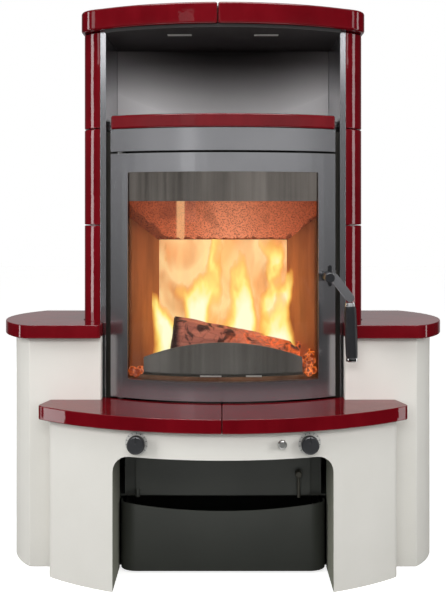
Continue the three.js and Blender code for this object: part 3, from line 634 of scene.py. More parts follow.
@dataclass(frozen=True)
class BurningWood(Finish):
    """Bark and split wood with charred patches, and cracks that glow where the fire has hold."""

    bark: Colour
    pale: Colour
    char: Colour
    along: Place
    glow_from: float
    glow_to: float
    end: float

    def wire(self, graph: Graph) -> None:
        """Wires bark, char and glow.

        Args:
            graph: Graph of the material.
        """
        where = graph.place()
        fibre = graph.noise(26.0, 6.0, graph.stretched(self.along), 0.65, 0.6)
        bark = graph.mix(fibre.mapped(0.35, 0.65), self.bark, self.pale)
        patches = graph.noise(15.0, 4.0, where, 0.6, 1.2).mapped(0.5, 0.58)
        flakes = graph.cells("DISTANCE_TO_EDGE", 40.0, graph.stretched((0.5, 1.0, 1.0)))
        cracks = flakes.mapped(0.0, 0.05, 1.0, 0.0)
        end = (graph.axis("X") + fibre * 0.02).mapped(self.end, self.end + 0.014, 1.0, 0.0)
        charred = graph.calc("MAXIMUM", graph.calc("MAXIMUM", patches * 0.92, cracks * 0.3), end)
        reach = graph.axis("X").mapped(self.glow_from, self.glow_to)
        veins = graph.noise(38.0, 5.0, where, 0.7, 0.8).mapped(0.44, 0.66)
        heat = reach * graph.calc("MAXIMUM", veins, cracks * 0.8)
        # painted firelight: bark and char give off a faint warm glow besides the hot veins
        lit = graph.mix(charred, (0.22, 0.075, 0.055, 1), (0.025, 0.010, 0.008, 1))
        graph.shade(
            Base_Color=graph.mix(charred, bark, self.char), Roughness=0.85,
            Emission_Color=graph.mix(heat, lit, (1.0, 0.16, 0.03, 1)), Emission_Strength=1.1,
            Normal=graph.bump(fibre - cracks * 0.5, 3 * MM),
        )


@dataclass(frozen=True)
class Charcoal(Finish):
    """Glowing charcoal under a bloom of grey ash."""

    coal: Colour
    bloom: Colour

    def wire(self, graph: Graph) -> None:
        """Wires coal, ash and glow.

        Args:
            graph: Graph of the material.
        """
        where = graph.place()
        ash = graph.noise(70.0, 4.0, where).mapped(0.45, 0.65)
        veins = graph.cells("DISTANCE_TO_EDGE", 75.0, where).mapped(0.02, 0.16, 1.0, 0.0)
        heat = graph.noise(24.0, 3.0, where).mapped(0.4, 0.62, 0.1, 1.0) * veins
        graph.shade(
            Base_Color=graph.mix(ash, self.coal, self.bloom), Roughness=0.95,
            Emission_Color=graph.mix(heat, (0.16, 0.018, 0.002, 1), (1.0, 0.22, 0.03, 1)),
            Emission_Strength=1.3, Normal=graph.bump(ash, 1.2 * MM),
        )


@dataclass(frozen=True)
class LightStreakedIron(Coating):
    """Iron or steel beside the fire, with painted light on it: upright streaks of glow that stand for the
    fire's light and for a window reflected in the door glass.
    """

    low_light: Colour = (0.02, 0.017, 0.014, 1)
    high_light: Colour = (0.10, 0.09, 0.08, 1)
    shift: float = 0.0

    def wire(self, graph: Graph) -> None:
        """Wires the coating and its streaks of painted light, broad ones and fine ones.

        Args:
            graph: Graph of the material.
        """
        super().wire(graph)
        # painted light: the streaks glow from the emission, not from any lamp
        where = graph.stretched((1.0, 0.05, 0.03), (self.shift, 0.0, 0.0))
        broad = graph.noise(11.0, 1.0, where).mapped(0.35, 0.65)
        fine = graph.noise(85.0, 2.0, where).mapped(0.35, 0.7)
        light = graph.mix(broad * 0.65 + fine * 0.35, self.low_light, self.high_light)
        graph.shade(Emission_Color=light, Emission_Strength=1.0)


@dataclass(frozen=True)
class Flame(Finish):
    """A sheet of flames: tongues that waver upwards, hottest low in their middle, thinning to nothing."""

    low: float
    high: float
    half: float
    shift: float
    pitch: float = 0.105
    lead: float = 0.155
    body: float = 0.9
    strength: float = 1.15
    hues: tuple[tuple[float, Colour], ...] = (
        (0.0, (1.0, 0.30, 0.04, 1)), (0.3, (1.0, 0.52, 0.10, 1)), (0.55, (1.0, 0.82, 0.22, 1)),
        (0.9, (1.0, 0.97, 0.66, 1)),
    )

    def wire(self, graph: Graph) -> None:
        """Wires the tongues from place alone.

        Args:
            graph: Graph of the material.
        """
        where = graph.stretched((1.0, 0.1, 0.5), (0.0, self.shift, 0.0))
        rise = graph.axis("Z").mapped(self.low, self.high)
        sway = (graph.noise(7.0, 2.0, where) - 0.5) * 0.26 + (graph.noise(22.0, 2.0, where) - 0.5) * 0.05
        across = graph.axis("X") + sway * (rise + 0.25)
        comb = graph.calc("COSINE", (across + self.lead) * (math.tau / self.pitch)) * 0.46
        combed = graph.node("ShaderNodeCombineXYZ", X=across, Y=self.shift, Z=rise * 0.10).outputs["Vector"]
        uneven = (graph.noise(13.0, 2.0, combed, 0.5) - 0.5) * 2.0
        licks = (graph.noise(48.0, 1.0, where, 0.5, 0.6) - 0.5) * 0.3
        edge = abs(graph.axis("X")).mapped(self.half - 0.035, self.half, 0.0, 0.8)
        heat = comb + uneven + licks + 0.66 - rise ** 1.6 * 0.95 - edge
        foot = rise.mapped(0.0, 0.10)
        graph.shade(
            Base_Color=BLACK, Roughness=1.0, Specular_IOR_Level=0.0, Emission_Strength=self.strength,
            Emission_Color=graph.ramp(heat.mapped(0.0, 0.9), self.hues),
            Alpha=heat.mapped(0.02, 0.55, 0.0, self.body) * foot,
        )


GLAZE = Glaze("oxblood glaze", linear(112, 10, 21), linear(96, 7, 16), linear(132, 20, 30))
RENDER = Plaster(
    "cream render", linear(228, 226, 220), linear(221, 219, 212), roughness=0.72, grain=1100.0,
    grain_depth=0.12 * MM, gloss_change=0.08,
)
MORTAR = Coating(
    "dark mortar", linear(58, 30, 30), linear(44, 24, 24), roughness=0.9, grain=700.0, grain_depth=0.2 * MM,
)
GREY_STEEL = Coating(
    "grey steel paint", linear(186, 186, 189), linear(178, 178, 182), roughness=0.2, gloss_change=0.03,
    metallic=0.94,
)
DARK_STEEL = Coating(
    "dark steel paint", linear(66, 68, 63), linear(58, 60, 56), roughness=0.46, metallic=0.25,
    grain=1500.0, grain_depth=0.03 * MM,
)
NICHE_STEEL = ArcShadedPaint("niche steel paint", linear(224, 222, 223), linear(216, 214, 215), roughness=0.5)
# partly painted shade: the rail's own dark paint, made black enough to stand for the shade on the niche's
# ceiling
BLACK_PAINT_AND_SHADE = Coating("black steel paint", linear(38, 36, 36), linear(32, 30, 30), roughness=0.75)
SATIN_STEEL = Coating(
    "satin steel", linear(208, 207, 203), linear(196, 195, 191), roughness=0.5, metallic=0.2, grain=1300.0,
)
SOOTED_STEEL = Coating(
    "sooted steel", linear(74, 72, 66), linear(52, 49, 44), roughness=0.62, metallic=0.3, grain=500.0,
    grain_depth=0.1 * MM,
)
BAFFLE_STEEL = LightStreakedIron(
    "baffle steel", linear(90, 86, 80), linear(64, 60, 56), roughness=0.6, metallic=0.2, grain=500.0,
    grain_depth=0.1 * MM, low_light=(0.016, 0.013, 0.011, 1), high_light=(0.15, 0.134, 0.122, 1), shift=0.06,
)
GUARD_IRON = LightStreakedIron(
    "guard iron", linear(82, 79, 74), linear(68, 66, 61), roughness=0.55, metallic=0.3, grain=520.0,
    grain_depth=0.25 * MM, low_light=(0.010, 0.009, 0.008, 1), high_light=(0.10, 0.094, 0.088, 1), shift=0.31,
)
CAST_IRON = Coating(
    "cast iron", linear(82, 80, 71), linear(66, 64, 57), roughness=0.55, metallic=0.35, grain=520.0,
    grain_depth=0.25 * MM,
)
BARE_STEEL = Coating(
    "bare steel", linear(176, 176, 173), linear(158, 158, 156), roughness=0.3, metallic=1.0, grain=1300.0,
    grain_depth=0.02 * MM,
)
CHROME = Coating(
    "polished chrome", linear(222, 222, 222), linear(210, 210, 211), roughness=0.07, gloss_change=0.04,
    metallic=1.0, grain=400.0, grain_depth=0.004 * MM,
)
BLACK_MOULDING = Coating(
    "black moulding", linear(24, 25, 28), linear(31, 32, 35), roughness=0.34, gloss_change=0.1, grain=1500.0,
    grain_depth=0.05 * MM,
)
BRAIDED_ROPE = Coating(
    "braided rope", linear(112, 110, 102), linear(74, 72, 66), roughness=0.95, grain=420.0,
    grain_depth=1.2 * MM,
)
WINDOW_GLASS = ClearGlass("window glass", (0.93, 0.93, 0.92, 1))
FLAME_HEART = (0.02, 0.045, 0.64)
SIDE_LINING = Firebrick(
    "side lining", linear(160, 104, 66), linear(96, 56, 34), (0.045, 0.008, 0.003, 1), (0.44, 0.14, 0.04, 1),
    (0.0, 0.20, 0.68), 0.8,
)
BACK_LINING = Firebrick(
    "back lining", linear(196, 150, 104), linear(140, 92, 58), (0.60, 0.25, 0.09, 1), (1.0, 0.52, 0.20, 1),
    (0.02, 0.19, 0.68), 1.0, (1.0, 0.80, 0.40, 1), 0.7,
)
HEARTH = Firebrick(
    "hearth slab", linear(120, 96, 74), linear(60, 48, 40), (0.02, 0.006, 0.002, 1), (0.30, 0.09, 0.02, 1),
    FLAME_HEART, 0.5,
)
FOAM = CeramicFoam("ceramic foam", linear(196, 96, 52), linear(70, 22, 12), 0.832, 0.932, 0.172, 0.795)
LOG_WOOD = BurningWood(
    "burning log", linear(120, 66, 50), linear(176, 112, 88), linear(30, 20, 20), (0.35, 1.0, 1.2),
    glow_from=-0.01, glow_to=0.11, end=-0.112,
)
EMBERS = Charcoal("charcoal", linear(28, 22, 20), linear(122, 108, 98))
MIDDLE_FLAME = Flame("middle flames", 0.50, 0.83, 0.190, 7.4)
RIGHT_FLAME = Flame("right flames", 0.49, 0.76, 0.200, 11.8, body=0.85)


# ---------- Making and dressing pieces ----------


class Body(Enum):
    """Moving and fixed bodies of the frame."""

    ROOT = "root"
    DOOR = "door"
    LATCH = "latch"
    PRIMARY = "primary_air"
    SECONDARY = "secondary_air"
    PULL = "grate_pull"
    DRAWER = "drawer"
    ASH_DOOR = "ash_door"
    ASH_LATCH = "ash_latch"


class Side(Enum):
    """Left or right, as someone in front of the stove sees it."""

    LEFT = -1
    RIGHT = 1

    @property
    def word(self) -> str:
        """Gives the side as nodes are named after it."""
        return self.name.lower()


def merged(node: str) -> Solid:
    """Copies a node's solid, merged, with each flat face made whole.

    Args:
        node: Name of the node.

    Returns:
        The copy.
    """
    solid = bmesh.new()
    solid.from_mesh(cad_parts[node].data)
    bmesh.ops.remove_doubles(solid, verts=solid.verts, dist=0.02 * MM)
    bmesh.ops.dissolve_limit(
        solid, angle_limit=math.radians(0.4), use_dissolve_boundaries=False, verts=solid.verts,
        edges=solid.edges,
    )
    return solid


def soften(solid: Solid, radius: float, segments: int = 3, angle: float = 32.0) -> None:
    """Rounds the sharp edges of a mesh.

    Args:
        solid: Mesh to round.
        radius: Width of the rounding, in metres.
        segments: Facets across it.
        angle: Least angle of an edge that counts as sharp, in degrees.
    """
    least = math.radians(angle)
    sharp = [e for e in solid.edges if len(e.link_faces) == 2 and e.calc_face_angle(0.0) > least]
    bmesh.ops.bevel(
        solid, geom=sharp, offset=radius, offset_type="OFFSET", segments=segments, profile=0.5,
        affect="EDGES", clamp_overlap=True, material=-1,
    )


def outward(solid: Solid) -> None:
    """Merges doubles and turns all faces outwards."""
    bmesh.ops.remove_doubles(solid, verts=solid.verts, dist=0.005 * MM)
    bmesh.ops.recalc_face_normals(solid, faces=solid.faces)


def cut(solid: Solid, at: Sequence[float], across: Sequence[float], clear: bool = False) -> None:
    """Cuts a mesh along a plane.

    Args:
        solid: Mesh to cut.
        at: Point on the plane.
        across: The plane's normal.
        clear: Whether what lies past the plane goes.
    """
    whole = solid.verts[:] + solid.edges[:] + solid.faces[:]
    bmesh.ops.bisect_plane(solid, geom=whole, plane_co=at, plane_no=across, clear_outer=clear)


def stored(name: str, solid: Solid) -> bpy.types.Mesh:
    """Stores a mesh as the scene's data.

    Args:
        name: Name of the data.
        solid: Mesh to store, which is used up.

    Returns:
        The stored mesh.
    """
    mesh = bpy.data.meshes.new(name)
    solid.to_mesh(mesh)
    solid.free()
    return mesh


def placed(name: str, data: bpy.types.ID) -> bpy.types.Object:
    """Puts data into the scene.

    Args:
        name: Name of the object.
        data: Its mesh, light or camera.

    Returns:
        The object.
    """
    made = bpy.data.objects.new(name, data)
    bpy.context.scene.collection.objects.link(made)
    return made


def piece(name: str, solid: Solid, body: Body, finish: Finish, nodes: Iterable[str] = (),
          smooth: float = 40.0) -> None:
    """Makes a finished piece of the stove from a mesh.

    Args:
        name: Name of the piece.
        solid: Its mesh, in place, which is used up.
        body: Body that it rides on.
        finish: Its finish.
        nodes: Nodes that it stands for.
        smooth: Angle from which an edge shows, in degrees.
    """
    solid.normal_update()
    mesh = stored(name, solid)
    if "custom_normal" in mesh.attributes:
        mesh.attributes.remove(mesh.attributes["custom_normal"])
    mesh.materials.clear()
    mesh.materials.append(finish.material())
    mesh.polygons.foreach_set("use_smooth", [True] * len(mesh.polygons))
    mesh.polygons.foreach_set("material_index", [0] * len(mesh.polygons))
    mesh.set_sharp_from_angle(angle=math.radians(smooth))
    made = placed(name, mesh)
    made.modifiers.new("even shading", "WEIGHTED_NORMAL").keep_sharp = True
    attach(made, body.value)
    if nodes:
        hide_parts(*nodes)
    log.info("%s: %d faces on %s", name, len(mesh.polygons), body.value)


def refined(node: str, body: Body, finish: Finish, radius: float, segments: int = 3) -> None:
    """Replaces a node by a copy with rounded edges.

    Args:
        node: Name of the node.
        body: Body that it rides on.
        finish: Its finish.
        radius: Width of the rounding, in metres.
        segments: Facets across it.
    """
    solid = merged(node)
    soften(solid, radius, segments)
    piece(f"{node}_finished", solid, body, finish, (node,))


def dress(node: str, finish: Finish) -> None:
    """Gives a node that keeps its own mesh its finish.

    Args:
        node: Name of the node.
        finish: Its finish.
    """
    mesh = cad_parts[node].data
    mesh.materials.clear()
    mesh.materials.append(finish.material())
    log.info("%s: kept, %s", node, finish.name)


def block(low: Sequence[float], high: Sequence[float], radius: float = 0.0, segments: int = 2) -> Solid:
    """Makes a block with rounded edges.

    Args:
        low: Its lowest corner.
        high: Its highest corner.
        radius: Width of the rounding, in metres.
        segments: Facets across it.

    Returns:
        The block's mesh.
    """
    solid = bmesh.new()
    span = Vector(high) - Vector(low)
    middle = (Vector(high) + Vector(low)) / 2
    bmesh.ops.create_cube(solid, size=1.0, matrix=Matrix.Translation(middle) @ Matrix.Diagonal((*span, 1.0)))
    if radius:
        soften(solid, radius, segments)
    return solid


def joined(parts: Iterable[Solid]) -> Solid:
    """Puts several meshes into one.

    Args:
        parts: The meshes, which are used up.

    Returns:
        One mesh of them all.
    """
    whole = bmesh.new()
    for part in parts:
        mesh = stored("part", part)
        whole.from_mesh(mesh)
        bpy.data.meshes.remove(mesh)
    return whole


# ---------- Studio ----------


@dataclass
class Lit:
    """What a lamp and a card have: a name, a place, a point that they face, and a size."""

    name: str
    place: Place
    aim: Place
    size: tuple[float, float]

    def towards(self, axis: str) -> Matrix:
        """Turns an axis, such as Z or -Z, towards the point that this faces."""
        return (Vector(self.aim) - Vector(self.place)).to_track_quat(axis, "Y").to_matrix().to_4x4()


@dataclass
class Lamp(Lit):
    """One soft lamp with its power."""

    watts: float

    def build(self) -> None:
        """Makes the lamp, which neither gloss nor glass shows."""
        light = bpy.data.lights.new(self.name, "AREA")
        light.shape = "RECTANGLE"
        light.size, light.size_y = self.size
        light.energy = self.watts
        made = placed(self.name, light)
        made.location = self.place
        made.rotation_euler = self.towards("-Z").to_euler()
        made.visible_glossy = made.visible_transmission = False


@dataclass
class Card(Lit):
    """One bright card that only gloss sees, with its brightness."""

    level: float

    def build(self) -> None:
        """Makes the card."""
        plane = bmesh.new()
        bmesh.ops.create_grid(plane, x_segments=1, y_segments=1, size=0.5)
        turn = self.towards("Z")
        plane.transform(Matrix.Translation(self.place) @ turn @ Matrix.Diagonal((*self.size, 1.0, 1.0)))
        gloss_only(self.name, plane, lambda graph: self.level)


def gloss_only(name: str, surface: Solid, level: Callable[[Graph], object]) -> None:
    """Makes a studio surface that only gloss and glass show.

    Args:
        name: Name of the surface.
        surface: Its mesh, which is used up.
        level: Gives its brightness, as a number or a value.
    """
    mesh = stored(name, surface)
    made = placed(name, mesh)
    material, graph = new_material(name)
    graph.shade(
        Base_Color=BLACK, Specular_IOR_Level=0.0, Emission_Color=WHITE, Emission_Strength=level(graph)
    )
    mesh.materials.append(material)
    for kind in ("camera", "diffuse", "shadow", "volume_scatter"):
        setattr(made, f"visible_{kind}", False)


@dataclass
class Studio:
    """Pale floor, white surround, soft lamps, dark cloth and bright cards for the gloss, and the camera."""

    camera_place: Place = (0.0, -2.75, 0.911)
    lens: float = 63.6
    shift_y: float = -0.148
    ambient: float = 0.3
    floor_reach: float = 14.0
    cloth_radius: float = 6.0
    cloth_height: float = 14.0
    lamps: list[Lamp] = field(default_factory=lambda: [
        Lamp("front key", (-0.2, -3.6, 2.1), (0.0, 0.0, 0.9), (2.4, 0.9), 52.0),
        Lamp("overhead softbox", (0.0, -1.7, 3.6), (0.0, -0.2, 0.5), (3.0, 1.6), 44.0),
        Lamp("left softbox", (-3.5, -1.6, 1.6), (0.0, -0.1, 0.5), (1.0, 2.2), 68.0),
        Lamp("right softbox", (3.4, -2.1, 1.6), (0.0, -0.1, 0.5), (1.0, 2.2), 52.0),
        Lamp("rear softbox", (0.0, 3.8, 2.4), (0.0, 0.0, 0.7), (2.6, 1.8), 62.0),
    ])
    cards: list[Card] = field(default_factory=lambda: [
        Card("left strip", (-3.6, 0.3, 1.0), (-0.3, 0.0, 0.8), (0.45, 3.2), 6.5),
        Card("right strip", (3.6, 0.3, 1.0), (0.3, 0.0, 0.8), (0.45, 3.2), 4.6),
        Card("left low card", (-3.6, -0.62, -0.22), (-0.44, -0.17, 0.4), (0.8, 0.5), 5.5),
        Card("right low card", (3.6, -0.2, -0.22), (0.44, -0.17, 0.4), (0.4, 0.5), 4.0),
        Card("left high card", (-3.6, -0.95, 2.05), (-0.32, -0.1, 1.4), (0.7, 0.6), 2.6),
        Card("right high card", (3.6, -0.85, 2.05), (0.32, -0.1, 1.4), (0.4, 0.6), 3.0),
        Card("window strip", (-1.9, -5.1, 1.6), (-0.1, -0.1, 0.9), (0.8, 1.6), 0.85),
        Card("top card", (0.0, -1.2, 4.4), (0.0, -0.1, 0.5), (4.0, 2.0), 11.0),
        Card("floor card", (0.0, -0.85, 0.004), (0.0, -0.85, 1.0), (2.2, 0.6), 2.2),
    ])

    def build(self) -> None:
        """Builds the whole studio."""
        scene = bpy.context.scene
        scene.view_settings.view_transform = "Standard"
        self.surround(scene)
        self.floor()
        self.cloth()
        for light in (*self.lamps, *self.cards):
            light.build()
        self.camera(scene)
        log.info("studio: %d lamps and %d cards", len(self.lamps), len(self.cards))

    def surround(self, scene: bpy.types.Scene) -> None:
        """Makes the white surround, which lights softly and shows as white.

        Args:
            scene: Scene to light.
        """
        world = bpy.data.worlds.new("surround")
        scene.world = world
        world.use_nodes = True
        graph = Graph(world.node_tree)
        path = graph.node("ShaderNodeLightPath").outputs
        seen = graph.calc("MAXIMUM", path["Is Camera Ray"], path["Is Glossy Ray"])
        seen = graph.calc("MAXIMUM", seen, path["Is Transmission Ray"])
        strength = seen.mapped(0.0, 1.0, self.ambient, 1.0)
        graph.fill(world.node_tree.nodes["Background"], Color=WHITE, Strength=strength)

    def floor(self) -> None:
        """Lays the plain pale floor, which keeps the stove's shadow."""
        plane = bmesh.new()
        bmesh.ops.create_grid(plane, x_segments=1, y_segments=1, size=self.floor_reach)
        mesh = stored("floor", plane)
        made = placed("floor", mesh)
        material, graph = new_material("pale floor")
        path = graph.node("ShaderNodeLightPath").outputs
        glow = Value(graph, path["Is Camera Ray"]).mapped(0.0, 1.0, 0.0, 0.72)
        bounce = graph.mix(path["Is Diffuse Ray"], (0.82, 0.82, 0.81, 1), (0.22, 0.22, 0.21, 1))
        graph.shade(
            Base_Color=bounce, Roughness=0.9, Specular_IOR_Level=0.1, Emission_Color=WHITE,
            Emission_Strength=glow,
        )
        mesh.materials.append(material)
        made.visible_glossy = False

    def cloth(self) -> None:
        """Stands dark cloth round the stove, so that glaze and paint keep their depth."""
        ring = bmesh.new()
        bmesh.ops.create_cone(
            ring, cap_ends=False, segments=72, radius1=self.cloth_radius, radius2=self.cloth_radius,
            depth=self.cloth_height,
        )
        gloss_only("flags", ring, self.cloth_level)

    @staticmethod
    def cloth_level(graph: Graph) -> Value:
        """Gives the cloth's brightness: a pale band in front and a dimmer one behind, dark elsewhere.

        Args:
            graph: Graph of its material.

        Returns:
            The brightness.
        """
        height, depth, side = graph.axis("Z"), graph.axis("Y"), abs(graph.axis("X"))
        band = height.mapped(-0.25, 1.5) * height.mapped(1.7, 2.4, 1.0, 0.06)
        front = side.mapped(4.2, 6.0, 1.0, 0.3) * depth.mapped(-2.5, 0.0, 1.0, 0.1)
        return band * front * 0.62 + depth.mapped(4.6, 5.4, 0.012, 0.42)

    def camera(self, scene: bpy.types.Scene) -> None:
        """Sets the camera level, straight in front, framed as the stove is.

        Args:
            scene: Scene that it belongs to.
        """
        lens = bpy.data.cameras.new("camera")
        lens.lens = self.lens
        lens.sensor_width = 36.0
        lens.sensor_fit = "AUTO"
        lens.shift_y = self.shift_y
        made = placed("camera", lens)
        made.location = self.camera_place
        made.rotation_euler = (math.pi / 2, 0.0, 0.0)
        scene.camera = made


# ---------- Tiles and rendered bodies ----------


@dataclass
class TileWork:
    """Glazed tiles of the benches, the column, the shelf and the cap, and the mortar in their open joints."""

    slab_edge: float = 5 * MM
    course_edge: float = 5.5 * MM
    cap_edge: float = 6 * MM
    courses: int = 3
    joint_inset: float = 9 * MM
    joint_gap: float = 0.2 * MM

    def build(self) -> None:
        """Builds every glazed tile, then the joints."""
        for side in Side:
            self.tile(f"front_bench_tile_{side.word}", self.slab_edge)
            self.tile(f"side_bench_tile_{side.word}", self.slab_edge)
            self.tile(f"cap_tile_{side.word}", self.cap_edge)
            for course in range(1, self.courses + 1):
                self.tile(f"column_tile_{side.word}_{course}", self.course_edge)
        self.tile("shelf_tile", self.slab_edge)
        for stem in ("cap_tile", "front_bench_tile"):
            self.joint(stem)

    def tile(self, node: str, radius: float) -> None:
        """Builds one tile with its rolled edges."""
        refined(node, Body.ROOT, GLAZE, radius, 5)

    def joint(self, stem: str) -> None:
        """Fills the joint between a tile's two halves with dark mortar, set back from their faces.

        Args:
            stem: What the names of both halves start with.
        """
        low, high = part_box(f"{stem}_left")
        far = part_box(f"{stem}_right")[0].x
        inset, gap = self.joint_inset, self.joint_gap
        solid = block((high.x + gap, low.y + inset, low.z + gap), (far - gap, high.y - inset, high.z - inset))
        piece(f"{stem}_joint", solid, Body.ROOT, MORTAR)


@dataclass
class RenderedBodies:
    """Cream bodies under the benches, with eased edges."""

    edge: float = 2.5 * MM

    def build(self) -> None:
        """Builds the three bodies."""
        for node in ("front_bench_body", "side_bench_body_left", "side_bench_body_right"):
            refined(node, Body.ROOT, RENDER, self.edge)


# ---------- Steel column ----------


@dataclass
class SteelColumn:
    """Side panels, fascia, ceiling and rail, niche, back and base."""

    edge: float = 0.9 * MM
    vent_x: float = 0.112
    vent_y: float = -0.037
    vent_length: float = 58 * MM
    vent_width: float = 10 * MM
    rim_wall: float = 2 * MM
    rim_drop: float = 2.6 * MM
    rim_gap: float = 0.1 * MM

    def build(self) -> None:
        """Builds the sheet-metal pieces."""
        for node in ("side_panel_left", "side_panel_right", "fascia"):
            refined(node, Body.ROOT, GREY_STEEL, self.edge, 2)
        for node in ("niche_back", "niche_floor"):
            refined(node, Body.ROOT, NICHE_STEEL, self.edge, 2)
        # black paint on the ceiling and rail, which also stands for painted shade under the ceiling
        refined("top_plate", Body.ROOT, BLACK_PAINT_AND_SHADE, self.edge, 2)
        for side in Side:
            self.vent_rim(side)
        for node in ("back_panel", "base_plate", "flue_spigot"):
            refined(node, Body.ROOT, DARK_STEEL, self.edge, 2)

    def vent_rim(self, side: Side) -> None:
        """Lays two pale bars along one warm-air slot in the niche's ceiling, as painted light where the slot
        shows bright.

        Args:
            side: Which slot.
        """
        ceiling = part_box("top_plate")[0].z
        x, wall = side.value * self.vent_x, self.rim_wall
        half, deep = self.vent_length / 2 + wall, self.vent_width / 2
        # painted light: pale satin bars where the slot shows bright
        bars = [
            block(
                (x - half, self.vent_y + near, ceiling - self.rim_drop),
                (x + half, self.vent_y + near + wall, ceiling - self.rim_gap), 0.3 * MM, 1,
            )
            for near in (-deep - wall, deep)
        ]
        piece(f"vent_rim_{side.word}", joined(bars), Body.ROOT, SATIN_STEEL)


# ---------- Door ----------


@dataclass
class FireDoor:
    """Bowed door with its glass, seal, hinges and latch keeper."""

    edge: float = 1.1 * MM
    glass_edge: float = 0.5 * MM

    def build(self) -> None:
        """Builds and dresses the door's pieces."""
        refined("door_frame", Body.DOOR, GREY_STEEL, self.edge, 2)
        refined("door_glass", Body.DOOR, WINDOW_GLASS, self.glass_edge, 1)
        dress("door_seal", BRAIDED_ROPE)
        for node in ("glass_retainer", "door_hinge_lower", "door_hinge_upper", "latch_keeper"):
            dress(node, BARE_STEEL)


@dataclass
class DoorHandle:
    """Latch lever with its boss and plate, and the grip between a chrome collar and a chrome end."""

    plate_edge: float = 0.4 * MM

    def build(self) -> None:
        """Builds the handle's pieces, of which only the plate stays on the door as the latch turns."""
        for node, finish, slot, edge in (
            ("handle_lever", GREY_STEEL, "steel_grey", 0.9 * MM),
            ("handle_rod", CHROME, "chrome", 0.7 * MM),
            ("handle_grip", BLACK_MOULDING, "black_grip", 0.8 * MM),
            ("latch_spindle", BLACK_MOULDING, "black_grip", 0.6 * MM),
        ):
            refined(node, Body.LATCH, finish, edge, 2)
        refined("handle_escutcheon", Body.DOOR, BLACK_MOULDING, self.plate_edge, 1)


# ---------- Fire chamber ----------


@dataclass
class FireChamber:
    """Firebox with its linings, hearth, filter, baffle, grate and log guard."""

    brick_edge: float = 1.5 * MM
    guard_edge: float = 1.5 * MM
    slab_edge: float = 1.0 * MM
    baffle_edge: float = 0.6 * MM
    foot_height: float = 6 * MM
    foot_reach: float = 8.2 * MM
    lug_depth: float = 6 * MM
    lug_height: float = 4 * MM
    lug_edge: float = 0.6 * MM
    lug_gap: float = 0.2 * MM
    lug_setback: float = 0.3 * MM
    lugs: tuple[tuple[float, float], ...] = ((-0.058, -0.004), (0.058, 0.098))

    def build(self) -> None:
        """Builds and dresses the chamber's pieces."""
        dress("firebox_shell", SOOTED_STEEL)
        refined("smoke_baffle", Body.ROOT, BAFFLE_STEEL, self.baffle_edge, 1)
        refined("log_guard", Body.ROOT, GUARD_IRON, self.guard_edge, 3)
        self.guard_foot()
        self.guard_lugs()
        refined("fire_grate", Body.ROOT, CAST_IRON, self.slab_edge, 1)
        for node in ("lining_left", "lining_right"):
            refined(node, Body.ROOT, SIDE_LINING, self.brick_edge, 2)
        refined("lining_back", Body.ROOT, BACK_LINING, self.brick_edge, 2)
        refined("hearth_slab", Body.ROOT, HEARTH, self.slab_edge, 1)
        refined("ceramic_filter", Body.ROOT, FOAM, self.brick_edge, 2)

    def guard_foot(self) -> None:
        """Lays the guard's low foot in front of it, cut from a copy of the guard."""
        solid = merged("log_guard")
        cut(solid, (0, 0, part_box("log_guard")[0].z + self.foot_height), (0, 0, 1), clear=True)
        bmesh.ops.holes_fill(solid, edges=[e for e in solid.edges if e.is_boundary], sides=0)
        solid.transform(Matrix.Translation((0, -self.foot_reach, 0)))
        outward(solid)
        piece("guard_foot", solid, Body.ROOT, SOOTED_STEEL)

    def guard_lugs(self) -> None:
        """Sets the two lugs that hold the foot on the front edge of the hearth."""
        low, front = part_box("log_guard")[0].z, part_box("hearth_slab")[0].y + self.lug_setback
        back, top = front + self.lug_depth, low + self.lug_height
        lugs = [
            block((left, front, low + self.lug_gap), (right, back, top), self.lug_edge)
            for left, right in self.lugs
        ]
        piece("guard_lugs", joined(lugs), Body.ROOT, SATIN_STEEL)


@dataclass
class FlameSheet:
    """One thin sheet on which flames stand: its ends, its depth in the chamber, its bow and its flames."""

    name: str
    left: float
    right: float
    depth: float
    bow: float
    finish: Flame
    thickness: float = 1.0 * MM
    steps: int = 24

    def build(self) -> None:
        """Builds the sheet as a thin closed wall, bowed in plan."""
        wall = block((self.left, 0, self.finish.low), (self.right, self.thickness, self.finish.high))
        for i in range(1, self.steps):
            cut(wall, (self.left + (self.right - self.left) * i / self.steps, 0, 0), (1, 0, 0))
        middle, half = (self.left + self.right) / 2, (self.right - self.left) / 2
        for vert in wall.verts:
            vert.co.y += self.depth + self.bow * ((vert.co.x - middle) / half) ** 2
        outward(wall)
        piece(self.name, wall, Body.ROOT, self.finish, smooth=60.0)


